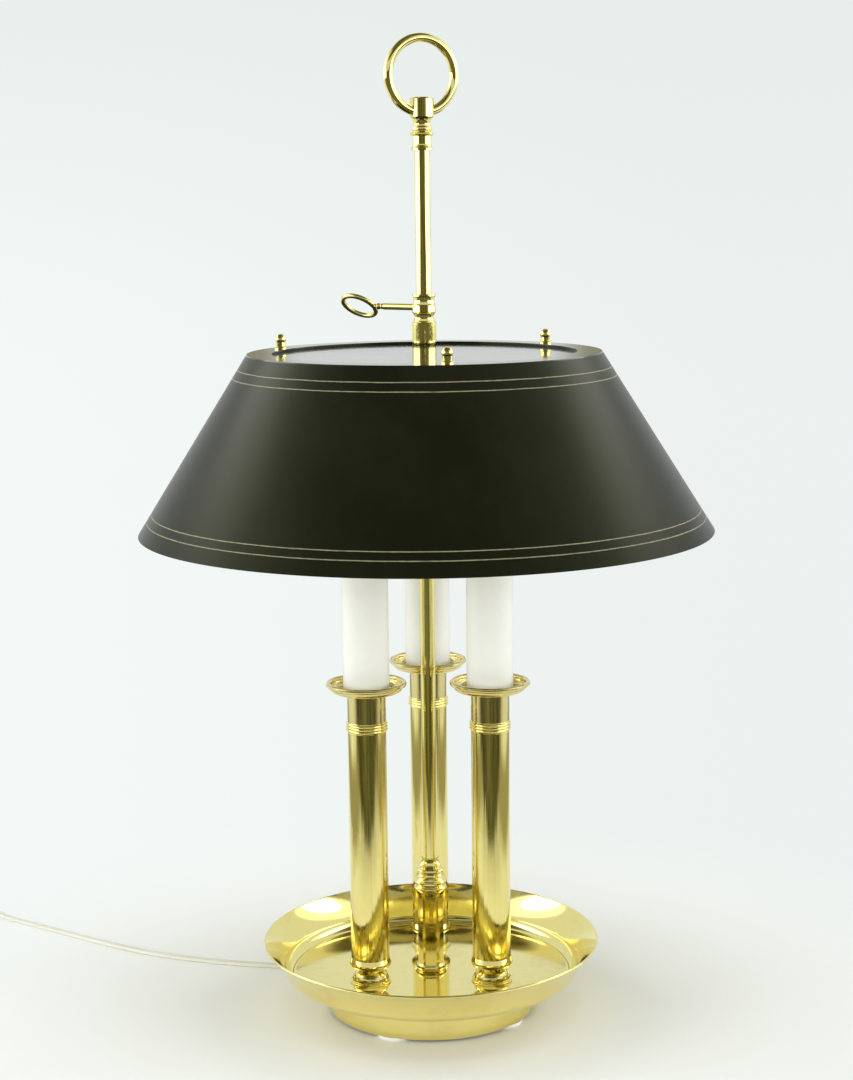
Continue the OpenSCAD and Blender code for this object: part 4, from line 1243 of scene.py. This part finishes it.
@dataclass(frozen=True)
class SpunDish:
    """The dish base: a flat floor, a cove and a flared lip with a rounded edge, in millimetres."""

    radius: float = 121.4  # of the lip
    floor: float = 28.0  # height of the floor's upper face
    depth: float = 25.1  # from the lip down to that face
    flat: float = 98.5  # radius of the flat floor
    cove: float = 9.0  # radius of the bend round it
    slope: float = 75.0  # how far that bend turns, in degrees
    flare: float = 20.0  # how far the lip bends back, in degrees
    sheet: float = 1.5  # thickness
    hole: float = 5.25  # radius of the hole in the middle
    lip_steps: int = 40
    cove_steps: int = 28
    floor_steps: int = 12
    edge_steps: int = 8
    around: int = 240

    @staticmethod
    def arc(a: Vector, b: Vector, turn: float, steps: int) -> List[Vector]:
        """Points of an evenly bent curve.

        Args:
            a: Its start.
            b: Its end.
            turn: How far it bends to the right, in degrees.
            steps: Steps along it.

        Returns:
            The points.
        """
        half = math.radians(turn) / 2
        d = b - a
        r = d.length / (2 * math.sin(half))
        h = math.atan2(d.y, d.x) + half
        return [a + r * Vector((math.sin(h) - math.sin(h - 2 * half * k / steps),
                                math.cos(h - 2 * half * k / steps) - math.cos(h))) for k in range(steps + 1)]

    @staticmethod
    def beside(path: Sequence[Vector], d: float) -> List[Vector]:
        """Move a path to its left.

        Args:
            path: The path.
            d: How far.

        Returns:
            The moved path.
        """
        moved = []
        for i, p in enumerate(path):
            before = (p - path[i - 1]).normalized() if i else None
            after = (path[i + 1] - p).normalized() if i < len(path) - 1 else None
            a, b = (Vector((-way.y, way.x)) for way in (before or after, after or before))
            moved.append(p + d * (a + b) / (1 + a.dot(b)))
        return moved

    def profile(self) -> List[Point2]:
        """The dish's section, from the lip's edge in along the upper face and back below.

        Returns:
            Radius and height of each point.
        """
        centre = Vector((self.flat, self.floor + self.cove))
        slope = math.radians(self.slope)
        foot = centre + self.cove * Vector((math.sin(slope), -math.cos(slope)))
        lip = self.arc(Vector((self.radius, self.floor + self.depth)), foot, -self.flare, self.lip_steps)
        face = lip[1:-1] + self.arc(foot, Vector((self.flat, self.floor)), self.slope, self.cove_steps)
        inward = (self.hole - self.flat) / self.floor_steps
        face += [Vector((self.flat + inward * k, self.floor)) for k in range(1, self.floor_steps + 1)]
        under = self.beside(face, self.sheet)
        edge = (face[0] + under[0]) / 2
        out = (face[0] - face[1]).normalized()
        side = (face[0] - edge).normalized()
        reach = self.sheet / 2
        turns = [math.pi * k / self.edge_steps for k in range(1, self.edge_steps)]
        round_edge = [edge + reach / 2 * math.sin(a) * out - reach * math.cos(a) * side for a in turns]
        return [(p.x, p.y) for p in face + under[::-1] + round_edge]

    def build(self) -> bpy.types.Object:
        """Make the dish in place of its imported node.

        Returns:
            The dish.
        """
        dish = Bench.turned("dish_spun", self.profile(), self.around)
        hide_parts("base_dish")
        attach(dish, "base")
        return dish


# ---- dressing ----


class Dresser:
    """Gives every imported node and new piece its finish."""

    def __init__(self) -> None:
        """Build every finish once."""
        finishes: Mapping[Slot, Finish] = {
            Slot.POLISHED_BRASS: PolishedBrass(),
            Slot.PLAIN_BRASS: DullMetal((0.72, 0.56, 0.27), (0.55, 0.38, 0.16), 0.28),
            Slot.PLAIN_STEEL: DullMetal((0.60, 0.61, 0.62), (0.48, 0.47, 0.42), 0.34),
            Slot.CAST_WEIGHT: DullMetal((0.17, 0.165, 0.16), (0.14, 0.09, 0.06), 0.6, grain=0.0003),
            Slot.BASE_BOARD: FibreBoard((0.055, 0.065, 0.05), (0.16, 0.15, 0.11)),
            Slot.WHITE_PAD: MouldedPlastic((0.82, 0.83, 0.81), (0.74, 0.74, 0.70), 0.55, coat=0.0,
                                           peel=0.00003),
            Slot.CANDLE_ENAMEL: MouldedPlastic((0.88, 0.885, 0.84), (0.85, 0.855, 0.79), 0.28, coat=0.25),
            Slot.SOCKET_PHENOLIC: MouldedPlastic((0.018, 0.016, 0.014), (0.03, 0.024, 0.018), 0.35),
            Slot.BULB_CAP: DullMetal((0.72, 0.72, 0.73), (0.55, 0.55, 0.54), 0.25),
            Slot.CLEAR_GLASS: BlownGlass(),
            Slot.SHADE_PAINT: ShadePaint(),
            Slot.PLATE_PAINT: PlatePaint(),
            Slot.CORD_JACKET: MouldedPlastic((0.76, 0.75, 0.66), (0.66, 0.63, 0.50), 0.22, coat=0.5,
                                             translucent=0.25),
            Slot.SWITCH_PLASTIC: MouldedPlastic((0.74, 0.71, 0.60), (0.68, 0.64, 0.52), 0.30),
            Slot.PLUG_PLASTIC: MouldedPlastic((0.74, 0.71, 0.61), (0.67, 0.63, 0.52), 0.34),
            Slot.TIE_PAPER: FibreBoard((0.78, 0.78, 0.74), (0.66, 0.66, 0.60), 0.7),
        }
        self.looks = {slot.value: finish.build(f"look_{slot.value}") for slot, finish in finishes.items()}
        drawn = PolishedBrass(roughness=0.055, drawn=0.26).build("look_drawn_brass")
        pan = PolishedBrass((0.78, 0.665, 0.29), (0.58, 0.45, 0.20), 0.15, spun=0.004).build("look_pan_brass")
        self.spun = PolishedBrass(roughness=0.075, spun=0.0025).build("look_spun_brass")
        self.special = {"main_rod": drawn, "centre_sleeve": drawn, "foot_ring": self.spun}
        for side in Side:
            self.special[f"column_tube_{side.label}"] = drawn
            self.special[f"drip_pan_{side.label}"] = pan

    def dress_nodes(self) -> None:
        """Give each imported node's material slots their finish."""
        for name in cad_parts:
            for held in bpy.data.objects[name].material_slots:
                kind = held.material.name.split(".")[0]
                if kind in self.looks:
                    held.material = self.special.get(name, self.looks[kind])

    def dress(self, piece: bpy.types.Object, slot: Slot) -> None:
        """Give a new piece the finish of one of the record's slots."""
        piece.data.materials.clear()
        piece.data.materials.append(self.looks[slot.value])


def main() -> None:
    """Build everything."""
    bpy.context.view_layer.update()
    StudioCamera().build()
    cords = MainsCord().build()
    dresser = Dresser()
    for cord in cords:
        dresser.dress(cord, Slot.CORD_JACKET)
    dresser.dress_nodes()
    SpunDish().build().data.materials.append(dresser.spun)
    BulbMount().build(dresser)
    Studio().build()


if __name__ == "__main__":
    main()
